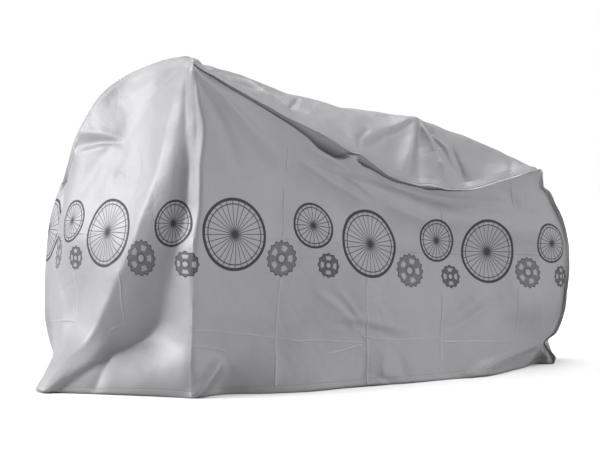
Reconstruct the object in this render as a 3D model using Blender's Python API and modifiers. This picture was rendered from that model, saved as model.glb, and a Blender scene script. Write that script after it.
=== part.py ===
"""Bicycle cover: a silver film bag, open at the bottom, as it hangs over handlebars and a saddle.

Two rectangular panels are welded together along the top and both ends. Heights in the tables are
above the floor that the hem reaches; the origin is under the top, where the bars carry the cover.
X runs along the bicycle towards its rear wheel and -Y is the side that faces the viewer.
Run with: blender --background --python part.py
"""

from collections import namedtuple

import bmesh
import bpy
import numpy as np

# Driving sizes, in metres.
ORIGIN = (0.100, 0.000, 0.990)   # under the top, over the middle of the bars, above the floor
SHEET = 0.002            # thickness of the film
WELD_GAP = 0.0032        # how far a panel's edge stays from the middle of a weld
WELD_RISES = (0.002, 0.007, 0.012)   # how far the rows of a welded edge stand out of the panels
WELD_THICK = 0.0024      # thickness of the two films welded together
WELD_END_GAP = 0.010     # space at each end of a weld, where the next one turns the corner
FRONT_WELD_GAP = 0.040   # the same on the front weld, whose top corner is nearly flat
CORNER_TRIM = 0.6        # share of the first cell that is trimmed off a panel's top corners
WELD_FADE = 0.03         # folds die away over this distance below the top weld
END_FADE = 0.05          # and over this distance from the two end welds

COLUMNS = 56             # cells of each panel, along it and down it, shared so that the edges meet
ROWS = 20

COLLECTION = "bicycle_cover"
SILVER = (0.46, 0.46, 0.475, 1.0)
WELD_SILVER = (0.50, 0.50, 0.51, 1.0)

# One row for each upright section of the near panel, from the front weld to the rear weld. "along" is
# the distance along the panel from the corner under the near handgrip, less than 0 on the front face.
# "seam" is where the top weld runs, "print" the middle of the printed band, "knee" 0.2 m up.
NearSection = namedtuple("NearSection", "along seam print knee hem")
NEAR_SECTIONS = (
    NearSection(-0.86, (-0.209, 0.420, 0.657), (-0.252, 0.470, 0.470), (-0.266, 0.470), (-0.225, 0.420)),
    NearSection(-0.62, (-0.194, 0.355, 0.764), (-0.236, 0.260, 0.472), (-0.262, 0.290), (-0.300, 0.200)),
    NearSection(-0.46, (-0.110, 0.322, 0.927), (-0.196, 0.105, 0.474), (-0.236, 0.130), (-0.386, 0.020)),
    NearSection(-0.32, (-0.022, 0.282, 1.001), (-0.158, -0.030, 0.474), (-0.190, -0.010), (-0.360, -0.060)),
    NearSection(-0.20, (0.038, 0.110, 1.033), (-0.105, -0.135, 0.474), (-0.120, -0.115), (-0.250, -0.150)),
    NearSection(-0.09, (0.028, -0.130, 1.024), (-0.052, -0.228, 0.474), (-0.052, -0.215), (-0.120, -0.235)),
    NearSection(0.00, (0.010, -0.285, 1.000), (0.000, -0.300, 0.474), (-0.002, -0.296), (-0.012, -0.284)),
    NearSection(0.10, (0.100, -0.284, 0.945), (0.095, -0.288, 0.473), (0.098, -0.284), (0.100, -0.262)),
    NearSection(0.25, (0.237, -0.262, 0.884), (0.245, -0.264, 0.470), (0.245, -0.272), (0.238, -0.314)),
    NearSection(0.40, (0.374, -0.239, 0.827), (0.394, -0.240, 0.464), (0.392, -0.262), (0.345, -0.326)),
    NearSection(0.60, (0.574, -0.207, 0.742), (0.592, -0.206, 0.436), (0.588, -0.244), (0.560, -0.298)),
    NearSection(0.77, (0.756, -0.177, 0.652), (0.758, -0.178, 0.416), (0.750, -0.232), (0.720, -0.296)),
    NearSection(0.92, (0.900, -0.154, 0.630), (0.905, -0.154, 0.404), (0.900, -0.214), (0.880, -0.284)),
    NearSection(1.06, (1.047, -0.130, 0.623), (1.045, -0.132, 0.396), (1.040, -0.192), (1.020, -0.268)),
    NearSection(1.22, (1.200, -0.105, 0.653), (1.205, -0.110, 0.390), (1.200, -0.158), (1.190, -0.170)),
    NearSection(1.36, (1.320, -0.086, 0.678), (1.350, -0.088, 0.384), (1.350, -0.130), (1.350, -0.060)),
    NearSection(1.52, (1.400, -0.055, 0.688), (1.512, -0.050, 0.380), (1.490, -0.070), (1.418, -0.104)),
)
KNEE_HEIGHT = 0.20
LEVEL_STEPS = (0.0, 0.52, 0.79, 1.0)     # where seam, print, knee and hem lie down a section

# One row for each section of the far panel, from the seam over the ridge to the far hem. The rows of
# the two end welds are read from the near panel, so that the panels meet there.
FarSection = namedtuple("FarSection", "seam_along roof ridge brow print knee hem")
FAR_SECTIONS = (
    FarSection(-0.62, (-0.150, 0.396, 0.752), (-0.112, 0.430, 0.708), (-0.088, 0.456, 0.630),
               (-0.080, 0.486, 0.42), (-0.076, 0.496), (-0.070, 0.478)),
    FarSection(-0.46, (-0.078, 0.344, 0.928), (-0.040, 0.366, 0.892), (-0.014, 0.394, 0.790),
               (0.000, 0.440, 0.42), (0.010, 0.468), (0.020, 0.480)),
    FarSection(-0.32, (0.006, 0.296, 1.003), (0.046, 0.312, 0.978), (0.080, 0.340, 0.860),
               (0.130, 0.404, 0.42), (0.140, 0.434), (0.150, 0.450)),
    FarSection(-0.20, (0.076, 0.130, 1.034), (0.136, 0.168, 1.000), (0.222, 0.268, 0.872),
               (0.290, 0.360, 0.42), (0.310, 0.386), (0.320, 0.420)),
    FarSection(-0.09, (0.096, -0.070, 1.020), (0.180, 0.020, 0.996), (0.332, 0.206, 0.868),
               (0.430, 0.326, 0.42), (0.450, 0.350), (0.450, 0.370)),
    FarSection(0.00, (0.120, -0.160, 0.984), (0.262, 0.000, 0.982), (0.440, 0.184, 0.862),
               (0.550, 0.294, 0.42), (0.560, 0.320), (0.570, 0.350)),
    FarSection(0.16, (0.236, -0.148, 0.952), (0.360, 0.000, 0.960), (0.540, 0.166, 0.850),
               (0.660, 0.268, 0.42), (0.670, 0.296), (0.680, 0.310)),
    FarSection(0.40, (0.428, -0.124, 0.884), (0.500, 0.000, 0.923), (0.640, 0.146, 0.830),
               (0.780, 0.244, 0.42), (0.790, 0.270), (0.800, 0.290)),
    FarSection(0.60, (0.602, -0.104, 0.822), (0.650, 0.000, 0.890), (0.744, 0.132, 0.800),
               (0.880, 0.222, 0.42), (0.890, 0.246), (0.890, 0.250)),
    FarSection(0.77, (0.776, -0.090, 0.772), (0.800, 0.000, 0.881), (0.858, 0.120, 0.786),
               (0.980, 0.200, 0.42), (0.985, 0.222), (0.990, 0.240)),
    FarSection(0.92, (0.910, -0.078, 0.762), (0.925, 0.000, 0.868), (0.966, 0.106, 0.768),
               (1.080, 0.180, 0.42), (1.085, 0.200), (1.090, 0.206)),
    FarSection(1.06, (1.046, -0.068, 0.722), (1.050, 0.000, 0.818), (1.080, 0.094, 0.712),
               (1.190, 0.160, 0.41), (1.195, 0.178), (1.200, 0.190)),
    FarSection(1.22, (1.200, -0.058, 0.700), (1.200, 0.000, 0.760), (1.222, 0.076, 0.664),
               (1.320, 0.136, 0.40), (1.325, 0.148), (1.320, 0.150)),
    FarSection(1.36, (1.326, -0.048, 0.694), (1.330, 0.000, 0.716), (1.372, 0.052, 0.610),
               (1.470, 0.092, 0.38), (1.470, 0.098), (1.440, 0.100)),
    FarSection(1.46, (1.382, -0.036, 0.690), (1.402, -0.006, 0.676), (1.452, 0.006, 0.590),
               (1.546, 0.016, 0.36), (1.534, 0.014), (1.460, 0.000)),
)
FAR_STEPS = (0.0, 0.12, 0.25, 0.42, 0.70, 0.86, 1.0)

# The long pleat that falls from the near handgrip and sweeps to the front tip of the hem, a row for
# each height: where its ridge, its valley and the corner of the near side lie along the panel, how far
# the ridge stands out and how far the valley is drawn in, both along PLEAT_WAY in plan.
PleatRow = namedtuple("PleatRow", "height ridge valley corner ridge_out valley_in")
PLEAT_ROWS = (
    PleatRow(0.000, -0.400, -0.330, 0.010, 0.015, 0.020),
    PleatRow(0.060, -0.404, -0.272, 0.006, 0.025, 0.034),
    PleatRow(0.115, -0.400, -0.230, 0.003, 0.035, 0.048),
    PleatRow(0.160, -0.382, -0.168, 0.000, 0.042, 0.058),
    PleatRow(0.225, -0.350, -0.122, -0.003, 0.046, 0.060),
    PleatRow(0.310, -0.305, -0.100, -0.004, 0.048, 0.058),
    PleatRow(0.400, -0.258, -0.082, -0.003, 0.048, 0.054),
    PleatRow(0.480, -0.222, -0.046, 0.002, 0.048, 0.052),
    PleatRow(0.570, -0.196, -0.026, 0.024, 0.048, 0.054),
    PleatRow(0.690, -0.164, -0.028, 0.034, 0.046, 0.054),
    PleatRow(0.790, -0.144, -0.034, 0.042, 0.040, 0.048),
    PleatRow(0.890, -0.108, -0.040, 0.020, 0.028, 0.034),
    PleatRow(0.960, -0.078, -0.038, -0.002, 0.014, 0.018),
    PleatRow(1.000, -0.062, -0.034, -0.014, 0.005, 0.006),
    PleatRow(1.040, -0.050, -0.032, -0.020, 0.000, 0.000),
)
PLEAT_WAY = (0.407, 0.914)   # the level direction in which the pleat's valley is drawn in
PLEAT_REACH = 0.17       # how far beyond the ridge the front face still bulges with it
PLEAT_CROWN = 0.012      # how far the flank between ridge and valley is rounded outwards

# How far the rear weld is drawn in towards the front at each height, by the gathered hem and by the
# films' own corner below the top weld.
RearRow = namedtuple("RearRow", "height drawn_in")
REAR_ROWS = (
    RearRow(0.000, 0.000), RearRow(0.022, 0.006), RearRow(0.042, 0.030), RearRow(0.060, 0.052),
    RearRow(0.076, 0.068), RearRow(0.090, 0.054), RearRow(0.106, 0.030), RearRow(0.150, 0.018),
    RearRow(0.210, 0.010), RearRow(0.320, 0.005), RearRow(0.480, 0.003), RearRow(0.560, 0.012),
    RearRow(0.605, 0.018), RearRow(0.622, 0.036), RearRow(0.650, 0.028), RearRow(0.690, 0.008),
)
REAR_START = 1.30        # where along both panels this draw begins

# Folds of the near panel: a path of (along, height) points, the half width at its start and end, how
# far it stands out (less than 0 is a valley), and how sharp its crest is (1 a ridge, 2 a soft swell).
Fold = namedtuple("Fold", "path start_width end_width out crest")
NEAR_FOLDS = (
    # Soft folds that fan out over the front face.
    Fold(((-0.070, 1.030), (-0.220, 0.919), (-0.295, 0.835), (-0.375, 0.767), (-0.430, 0.690)),
         0.012, 0.036, -0.012, 2.0),
    Fold(((-0.080, 1.040), (-0.260, 0.942), (-0.380, 0.870), (-0.460, 0.821)), 0.012, 0.036, 0.010, 2.0),
    # The dart below the far handgrip.
    Fold(((-0.640, 0.775), (-0.570, 0.775), (-0.455, 0.777), (-0.320, 0.780)), 0.034, 0.012, -0.018, 1.6),
    # The near side sags in two long soft folds that run down to the rear.
    Fold(((0.440, 0.720), (0.560, 0.690), (0.770, 0.632), (0.905, 0.596), (1.035, 0.564), (1.400, 0.510)),
         0.030, 0.030, -0.008, 2.0),
    Fold(((0.560, 0.640), (0.650, 0.620), (0.895, 0.537), (1.200, 0.489), (1.480, 0.450)),
         0.040, 0.040, 0.008, 2.0),
    Fold(((0.100, 0.800), (0.195, 0.741), (0.415, 0.620), (0.685, 0.507), (1.000, 0.440)),
         0.045, 0.050, -0.007, 2.0),
    # The panel is drawn in below the top weld, which hangs over it.
    Fold(((0.040, 0.955), (0.160, 0.895), (0.374, 0.800), (0.501, 0.745), (0.600, 0.700), (0.760, 0.626),
          (0.930, 0.606)), 0.016, 0.020, -0.012, 2.0),
    # The hem is tucked under at the rear, and its last corner stands out.
    Fold(((0.980, 0.000), (1.100, 0.030), (1.245, 0.055), (1.360, 0.078), (1.440, 0.080)),
         0.020, 0.034, 0.016, 1.6),
    Fold(((-0.800, 0.620), (-0.760, 0.560), (-0.760, 0.480), (-0.720, 0.360)), 0.020, 0.024, -0.012, 1.6),
)

# Folds of the far panel: the second number of a point is the distance from the top weld over the roof.
FAR_FOLDS = (
    Fold(((0.930, 0.300), (0.770, 0.209), (0.600, 0.060)), 0.020, 0.040, 0.010, 1.6),
    Fold(((0.925, 0.300), (0.835, 0.129), (0.745, -0.040)), 0.018, 0.036, 0.009, 1.6),
    Fold(((0.930, 0.300), (0.900, 0.130), (0.850, -0.030)), 0.016, 0.034, -0.009, 1.6),
    Fold(((0.930, 0.300), (0.970, 0.139), (0.990, -0.020)), 0.016, 0.034, 0.010, 1.6),
    Fold(((0.940, 0.300), (1.030, 0.087), (1.080, -0.020)), 0.018, 0.034, -0.011, 1.6),
    Fold(((0.050, 0.150), (0.235, 0.070), (0.380, 0.030)), 0.024, 0.030, 0.008, 1.6),
    # Plain hanging folds on the side away from the viewer.
    Fold(((-0.300, 0.300), (-0.340, 0.700), (-0.360, 1.200)), 0.030, 0.070, 0.022, 2.0),
    Fold(((-0.040, 0.500), (-0.060, 0.800), (-0.080, 1.300)), 0.030, 0.080, -0.024, 2.0),
    Fold(((0.280, 0.450), (0.260, 0.800), (0.250, 1.350)), 0.030, 0.080, 0.022, 2.0),
    Fold(((0.560, 0.450), (0.540, 0.800), (0.520, 1.300)), 0.030, 0.070, -0.020, 2.0),
    Fold(((0.880, 0.420), (0.860, 0.700), (0.840, 1.250)), 0.026, 0.070, 0.022, 2.0),
    Fold(((1.180, 0.250), (1.170, 0.600), (1.160, 1.100)), 0.026, 0.060, -0.016, 2.0),
)

# How closely the columns of both panels are set: their relative spacing at places along them.
SPACING = ((-0.86, 1.1), (-0.50, 0.9), (-0.25, 0.5), (0.06, 0.5), (0.15, 1.3), (1.10, 1.3), (1.52, 1.0))


def slopes(knots, values):
    """Slopes of a smooth curve through the knots that never overshoots them."""
    steps = np.diff(knots)[:, None]
    chords = np.diff(values, axis=0) / steps
    inner = np.where(chords[:-1] * chords[1:] > 0, 1.0, 0.0)
    weight_a = 2 * steps[1:] + steps[:-1]
    weight_b = steps[1:] + 2 * steps[:-1]
    safe_a = np.where(chords[:-1] == 0, 1.0, chords[:-1])
    safe_b = np.where(chords[1:] == 0, 1.0, chords[1:])
    harmonic = (weight_a + weight_b) / (weight_a / safe_a + weight_b / safe_b + 1e-12 * (inner == 0))
    return np.vstack([chords[:1], harmonic * inner, chords[-1:]])


def smooth(knots, values, places):
    """Values of the curve through (knots, values) at these places, one row each."""
    knots = np.asarray(knots, float)
    values = np.asarray(values, float)
    places = np.clip(np.asarray(places, float), knots[0], knots[-1])
    slope = slopes(knots, values)
    cell = np.clip(np.searchsorted(knots, places, side="right") - 1, 0, len(knots) - 2)
    width = (knots[cell + 1] - knots[cell])[:, None]
    t = (places - knots[cell])[:, None] / width
    return (
        values[cell] * (1 + 2 * t) * (1 - t) ** 2
        + slope[cell] * width * t * (1 - t) ** 2
        + values[cell + 1] * t**2 * (3 - 2 * t)
        + slope[cell + 1] * width * t**2 * (t - 1)
    )


def near_controls():
    """Control points of the near panel: its places along, and for each the four levels."""
    along = [row.along for row in NEAR_SECTIONS]
    levels = [
        (row.seam, row.print, (*row.knee, KNEE_HEIGHT), (*row.hem, 0.0)) for row in NEAR_SECTIONS
    ]
    return np.array(along), np.array(levels)


def near_base(along, down):
    """Points of the near panel without folds, as an array [along][down][xyz]."""
    places, levels = near_controls()
    rows = smooth(places, levels.reshape(len(places), -1), along).reshape(len(along), 4, 3)
    return np.array([smooth(LEVEL_STEPS, row, down) for row in rows])


def far_base(along, down):
    """Points of the far panel: its top edge is the near panel's, and so are its two ends."""
    places, levels = near_controls()
    join_steps = np.array(FAR_STEPS)
    ends = near_base(places[[0, -1]], join_steps)
    middle_places = [row.seam_along for row in FAR_SECTIONS]
    seams = smooth(places, levels[:, 0], middle_places)
    middle = [
        (seam, row.roof, row.ridge, row.brow, row.print, (*row.knee, KNEE_HEIGHT), (*row.hem, 0.0))
        for seam, row in zip(seams, FAR_SECTIONS)
    ]
    knots = [places[0], *middle_places, places[-1]]
    controls = np.array([ends[0], *np.array(middle), ends[1]])
    rows = smooth(knots, controls.reshape(len(knots), -1), along).reshape(len(along), -1, 3)
    rows[:, 0] = smooth(places, levels[:, 0], along)
    points = np.array([smooth(FAR_STEPS, row, down) for row in rows])
    points[[0, -1]] = near_base(places[[0, -1]], down)
    return points


def normals_of(points):
    """Unit normals of a grid of points [i][j][xyz], along d(i) x d(j)."""
    across = np.gradient(points, axis=0)
    downward = np.gradient(points, axis=1)
    normal = np.cross(across, downward)
    return normal / np.linalg.norm(normal, axis=2, keepdims=True)


def fold_height(fold, first, second):
    """How far one fold stands out at each place (first, second) of its panel."""
    path = np.array(fold.path, float)
    lengths = np.linalg.norm(np.diff(path, axis=0), axis=1)
    starts = np.concatenate([[0.0], np.cumsum(lengths)])
    best = np.full(first.shape, np.inf)
    travelled = np.zeros(first.shape)
    for tail, tip, length, start in zip(path, path[1:], lengths, starts):
        along = (first - tail[0]) * (tip - tail)[0] + (second - tail[1]) * (tip - tail)[1]
        part = np.clip(along / length**2, 0.0, 1.0)
        off_first = first - tail[0] - part * (tip - tail)[0]
        off_second = second - tail[1] - part * (tip - tail)[1]
        run = (start + part * length) / starts[-1]
        width = fold.start_width + (fold.end_width - fold.start_width) * run
        ratio = np.hypot(off_first, off_second) / width
        nearer = ratio < best
        best = np.where(nearer, ratio, best)
        travelled = np.where(nearer, run, travelled)
    fade = np.sqrt(np.clip(np.sin(np.pi * travelled), 0.0, 1.0))
    return fold.out * fade * np.exp(-(best**fold.crest))


def pleat_lines():
    """Plan points of the pleat's ridge, valley and corner at each row's height, as [row][line][xy]."""
    down = np.linspace(0.0, 1.0, 201)
    way = np.array(PLEAT_WAY)
    lines = []
    for row in PLEAT_ROWS:
        columns = near_base(np.array([row.ridge, row.valley, row.corner]), down)
        plan = np.array([
            [np.interp(-row.height, -column[:, 2], column[:, axis]) for axis in (0, 1)]
            for column in columns
        ])
        plan[0] -= row.ridge_out * way
        plan[1] += row.valley_in * way
        lines.append(plan)
    return np.array(lines)


def pleat_shift(first, base):
    """How far the long pleat moves each point of the near panel in plan, as [along][down][xy]."""
    rows = np.array(PLEAT_ROWS)
    table = np.hstack([rows[:, 1:], pleat_lines().reshape(len(rows), 6)])
    height = base[:, :, 2]
    shape = smooth(rows[:, 0], table, height.ravel()).reshape(*height.shape, 11)
    ridge, valley, corner, ridge_out = (shape[:, :, k] for k in range(4))
    ridge_plan, valley_plan, corner_plan = shape[:, :, 5:7], shape[:, :, 7:9], shape[:, :, 9:11]
    share = np.clip((first - ridge) / (valley - ridge), 0.0, 1.0)[:, :, None]
    crown = -PLEAT_CROWN * np.sin(np.pi * share) * np.array(PLEAT_WAY)
    target = ridge_plan + share * (valley_plan - ridge_plan) + crown
    share = np.clip((first - valley) / (corner - valley), 0.0, 1.0)[:, :, None]
    beyond = valley_plan + share * (corner_plan - valley_plan)
    target = np.where((first < valley)[:, :, None], target, beyond)
    bulge = -ridge_out * np.clip(1.0 - (ridge - first) / PLEAT_REACH, 0.0, 1.0) ** 2
    beside = bulge[:, :, None] * np.array(PLEAT_WAY)
    shift = np.where((first < ridge)[:, :, None], beside, target - base[:, :, :2])
    return np.where((first > corner)[:, :, None], 0.0, shift)


def drawn_in(first, points):
    """The points with the rear weld drawn in, as [along][down][xyz]."""
    rows = np.array(REAR_ROWS)
    pull = smooth(rows[:, 0], rows[:, 1:], points[:, :, 2].ravel()).reshape(first.shape)
    share = np.clip((first - REAR_START) / (NEAR_SECTIONS[-1].along - REAR_START), 0.0, 1.0)
    moved = points.copy()
    moved[:, :, 0] -= pull * share**2
    return moved


def spaced(table, cells):
    """Places along a panel, cells + 1 of them, set as closely as the spacing table says."""
    places = np.array([row[0] for row in table])
    spacing = np.array([row[1] for row in table])
    fine = np.linspace(places[0], places[-1], 1001)
    crowd = np.cumsum(1.0 / np.interp(fine, places, spacing))
    crowd = (crowd - crowd[0]) / (crowd[-1] - crowd[0])
    return np.interp(np.linspace(0.0, 1.0, cells + 1), crowd, fine)


def edge_fade(values):
    """0 at the two ends of a list of places and 1 well inside them, so that the welds stay put."""
    share = np.clip(np.minimum(values - values[0], values[-1] - values) / END_FADE, 0.0, 1.0)
    return share**2 * (3 - 2 * share)


def pull_back(points, gap):
    """Moves the top edge and both end edges of a grid this far inside the panel."""
    moved = points.copy()
    for edge, inside in ((np.s_[:, 0], np.s_[:, 1]), (np.s_[0], np.s_[1]), (np.s_[-1], np.s_[-2])):
        inward = points[inside] - points[edge]
        length = np.linalg.norm(inward, axis=1, keepdims=True)
        moved[edge] = moved[edge] + inward / length * np.minimum(gap, 0.8 * length)
    for end, inside in ((0, 1), (-1, -2)):
        moved[end, 0] = points[end, 0] + CORNER_TRIM * (points[inside, 1] - points[end, 0])
    return moved


def near_panel(along, down):
    """Points of the near panel with its folds."""
    base = near_base(along, down)
    out = -normals_of(base)
    first = np.repeat(along[:, None], len(down), axis=1)
    height = sum(fold_height(fold, first, base[:, :, 2]) for fold in NEAR_FOLDS)
    from_weld = np.cumsum(np.linalg.norm(np.diff(base, axis=1, prepend=base[:, :1]), axis=2), axis=1)
    fade = (np.clip(from_weld / WELD_FADE, 0.0, 1.0) * edge_fade(along)[:, None])[:, :, None]
    points = base + out * height[:, :, None] * fade
    points[:, :, :2] += pleat_shift(first, base) * fade
    points[:, :, 2] = np.maximum(points[:, :, 2], 0.0)
    return drawn_in(first, points)


def far_panel(along, down):
    """Points of the far panel with its folds."""
    base = far_base(along, down)
    out = normals_of(base)
    first = np.repeat(along[:, None], len(down), axis=1)
    over = np.cumsum(np.linalg.norm(np.diff(base, axis=1, prepend=base[:, :1]), axis=2), axis=1)
    height = sum(fold_height(fold, first, over) for fold in FAR_FOLDS)
    height *= np.clip(over / WELD_FADE, 0.0, 1.0) * edge_fade(along)[:, None]
    points = base + out * height[:, :, None]
    points[:, :, 2] = np.maximum(points[:, :, 2], 0.0)
    return drawn_in(first, points)


def make_material(name, color, roughness, metallic):
    """A Principled material."""
    material = bpy.data.materials.new(name)
    material.use_nodes = True
    shader = material.node_tree.nodes["Principled BSDF"]
    shader.inputs["Base Color"].default_value = color
    shader.inputs["Roughness"].default_value = roughness
    shader.inputs["Metallic"].default_value = metallic
    return material


def make_sheet(name, points, thickness, offset, material, collection):
    """A grid of points as one sheet of this thickness, faces out."""
    columns, rows = points.shape[:2]
    shape = bmesh.new()
    bmesh.ops.create_grid(shape, x_segments=columns - 1, y_segments=rows - 1, size=0.5)
    for vertex in shape.verts:
        column = round((vertex.co.x + 0.5) * (columns - 1))
        row = round((vertex.co.y + 0.5) * (rows - 1))
        vertex.co = points[column, row]
    mesh = bpy.data.meshes.new(name)
    shape.to_mesh(mesh)
    shape.free()
    mesh.shade_smooth()
    sheet = bpy.data.objects.new(name, mesh)
    sheet.location = [-value for value in ORIGIN]
    mesh.materials.append(material)
    collection.objects.link(sheet)
    solidify = sheet.modifiers.new("Thickness", "SOLIDIFY")
    solidify.thickness = thickness
    solidify.offset = offset
    return sheet


def weld_strip(line, near_out, far_out, near_share):
    """A flat strip that stands out of a weld line, between the two panels' outward directions."""
    outward = near_share * near_out + (1.0 - near_share) * far_out
    outward[[0, -1]] = outward[[1, -2]]
    outward /= np.linalg.norm(outward, axis=1, keepdims=True)
    return np.stack([line + rise * outward for rise in WELD_RISES], axis=1)


def shortened(line, gap):
    """The line drawn in by the gap at both its ends, with its points spread again."""
    steps = np.linalg.norm(np.diff(line, axis=0), axis=1)
    travelled = np.concatenate([[0.0], np.cumsum(steps)])
    places = gap + (travelled[-1] - 2 * gap) * travelled / travelled[-1]
    return np.stack([np.interp(places, travelled, line[:, axis]) for axis in range(3)], axis=1)


def main():
    """Clears the scene and builds the two panels and the three welds."""
    for item in list(bpy.data.objects):
        bpy.data.objects.remove(item)
    collection = bpy.data.collections.new(COLLECTION)
    bpy.context.scene.collection.children.link(collection)
    film = make_material("silver_film", SILVER, 0.34, 0.25)
    weld = make_material("welded_edge", WELD_SILVER, 0.38, 0.20)

    along = spaced(SPACING, COLUMNS)
    down = np.linspace(0.0, 1.0, ROWS + 1)
    near = near_panel(along, down)
    far = far_panel(along, down)
    near_out = -normals_of(near)
    far_out = normals_of(far)
    make_sheet("near_panel", pull_back(near, WELD_GAP)[::-1], SHEET, 1.0, film, collection)
    make_sheet("far_panel", pull_back(far, WELD_GAP), SHEET, 1.0, film, collection)
    top = weld_strip(near[:, 0], near_out[:, 0], far_out[:, 0], 0.7)
    make_sheet("top_weld", shorten_ends(top, WELD_END_GAP), WELD_THICK, 0.0, weld, collection)
    for name, end, gap in (("front_weld", 0, FRONT_WELD_GAP), ("rear_weld", -1, WELD_END_GAP)):
        strip = weld_strip(near[end], near_out[end], far_out[end], 0.5)
        make_sheet(name, shorten_ends(strip, gap), WELD_THICK, 0.0, weld, collection)


def shorten_ends(strip, gap):
    """The strip with its ends moved clear of the next weld."""
    return np.stack([shortened(strip[:, row], gap) for row in range(strip.shape[1])], axis=1)


main()
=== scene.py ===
"""Bicycle cover: a bag of silver film over handlebars and a saddle, dressed for a render.

Two rectangular panels are welded together along the top and at both ends. Heights in the tables
are above the floor; the origin is under the top, over the middle of the handlebars. X runs along
the bicycle towards its rear wheel and -Y is the side that faces the viewer. All sizes are in
metres.
"""

import logging
import math
from dataclasses import dataclass, field
from enum import Enum
from functools import reduce
from typing import Any, NamedTuple, Optional, Sequence, Union

import bpy
import numpy as np
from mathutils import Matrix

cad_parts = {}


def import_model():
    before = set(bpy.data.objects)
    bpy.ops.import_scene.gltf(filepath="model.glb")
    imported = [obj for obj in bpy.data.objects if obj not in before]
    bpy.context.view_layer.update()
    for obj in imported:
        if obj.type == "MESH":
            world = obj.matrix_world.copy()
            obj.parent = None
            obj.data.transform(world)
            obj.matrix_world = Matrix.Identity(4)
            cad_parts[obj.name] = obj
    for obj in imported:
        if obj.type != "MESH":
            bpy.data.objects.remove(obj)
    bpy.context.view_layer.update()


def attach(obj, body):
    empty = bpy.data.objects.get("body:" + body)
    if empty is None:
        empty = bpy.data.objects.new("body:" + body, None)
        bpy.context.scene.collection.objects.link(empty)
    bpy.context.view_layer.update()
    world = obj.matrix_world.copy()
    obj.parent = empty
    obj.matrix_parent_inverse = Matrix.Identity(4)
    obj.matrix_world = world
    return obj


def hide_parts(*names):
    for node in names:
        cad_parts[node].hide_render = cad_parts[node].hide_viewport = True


LOG = logging.getLogger("bicycle_cover")

Point = tuple[float, float, float]
Spot = tuple[float, float]
Colour = tuple[float, float, float, float]

ORIGIN = (0.1, 0.0, 0.99)           # the part's origin, in the tables' frame
PRINT_MIDDLE = 0.45                 # height of the print's middle on the near panel
KNEE_HEIGHT = 0.20                  # height of every section's knee

# How far down a section its levels are: seam, print, knee and hem of the near panel, and seam,
# roof, ridge, brow, print, knee and hem of the far one.
NEAR_STEPS = (0.0, 0.52, 0.79, 1.0)
FAR_STEPS = (0.0, 0.12, 0.25, 0.42, 0.70, 0.86, 1.0)


class NearSection(NamedTuple):
    """An upright section of the near panel: seam, middle of the print, knee and hem."""

    along: float
    seam: Point
    print: Point
    knee: Spot
    hem: Spot


class FarSection(NamedTuple):
    """A section of the far panel, from the seam over the ridge to the far hem."""

    seam_along: float
    roof: Point
    ridge: Point
    brow: Point
    print: Point
    knee: Spot
    hem: Spot


class PleatRow(NamedTuple):
    """Where the long pleat's ridge, valley and corner lie at one height, and how deep it is."""

    height: float
    ridge: float
    valley: float
    corner: float
    ridge_out: float
    valley_in: float


class Knot(NamedTuple):
    """An amount at one place of a table that is read as a smooth curve."""

    place: float
    amount: float


class Fold(NamedTuple):
    """A soft fold along a path: its half widths, how far it stands out and its sharpness.

    A path's point is a distance along the panel and, on the near panel, a height, or on the far
    one, a distance from the top weld. Less than 0 out is a valley; crest is 1 at a ridge and 2
    at a swell.
    """

    path: tuple[Spot, ...]
    start_width: float
    end_width: float
    out: float
    crest: float


class Crease(NamedTuple):
    """A packing crease as a straight line on the flat panel, and its half width."""

    start: Spot
    end: Spot
    width: float


class Waves(NamedTuple):
    """Gentle seeded waves: where the random numbers start, their lengths and their height."""

    seed: int
    shortest: float
    longest: float
    height: float


class FinRow(NamedTuple):
    """How a fin lies at a share of its weld's length: its turn to the near side and width."""

    share: float
    flop: float
    width: float


class Groove(NamedTuple):
    """A pressed line at a distance from an edge: its half width, softness and depth."""

    edge: str
    distance: float
    half_width: float
    softness: float
    depth: float


def table(kind: type, *rows: tuple) -> tuple:
    """The rows of a table, with this kind's named columns."""
    return tuple(kind(*row) for row in rows)


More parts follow.
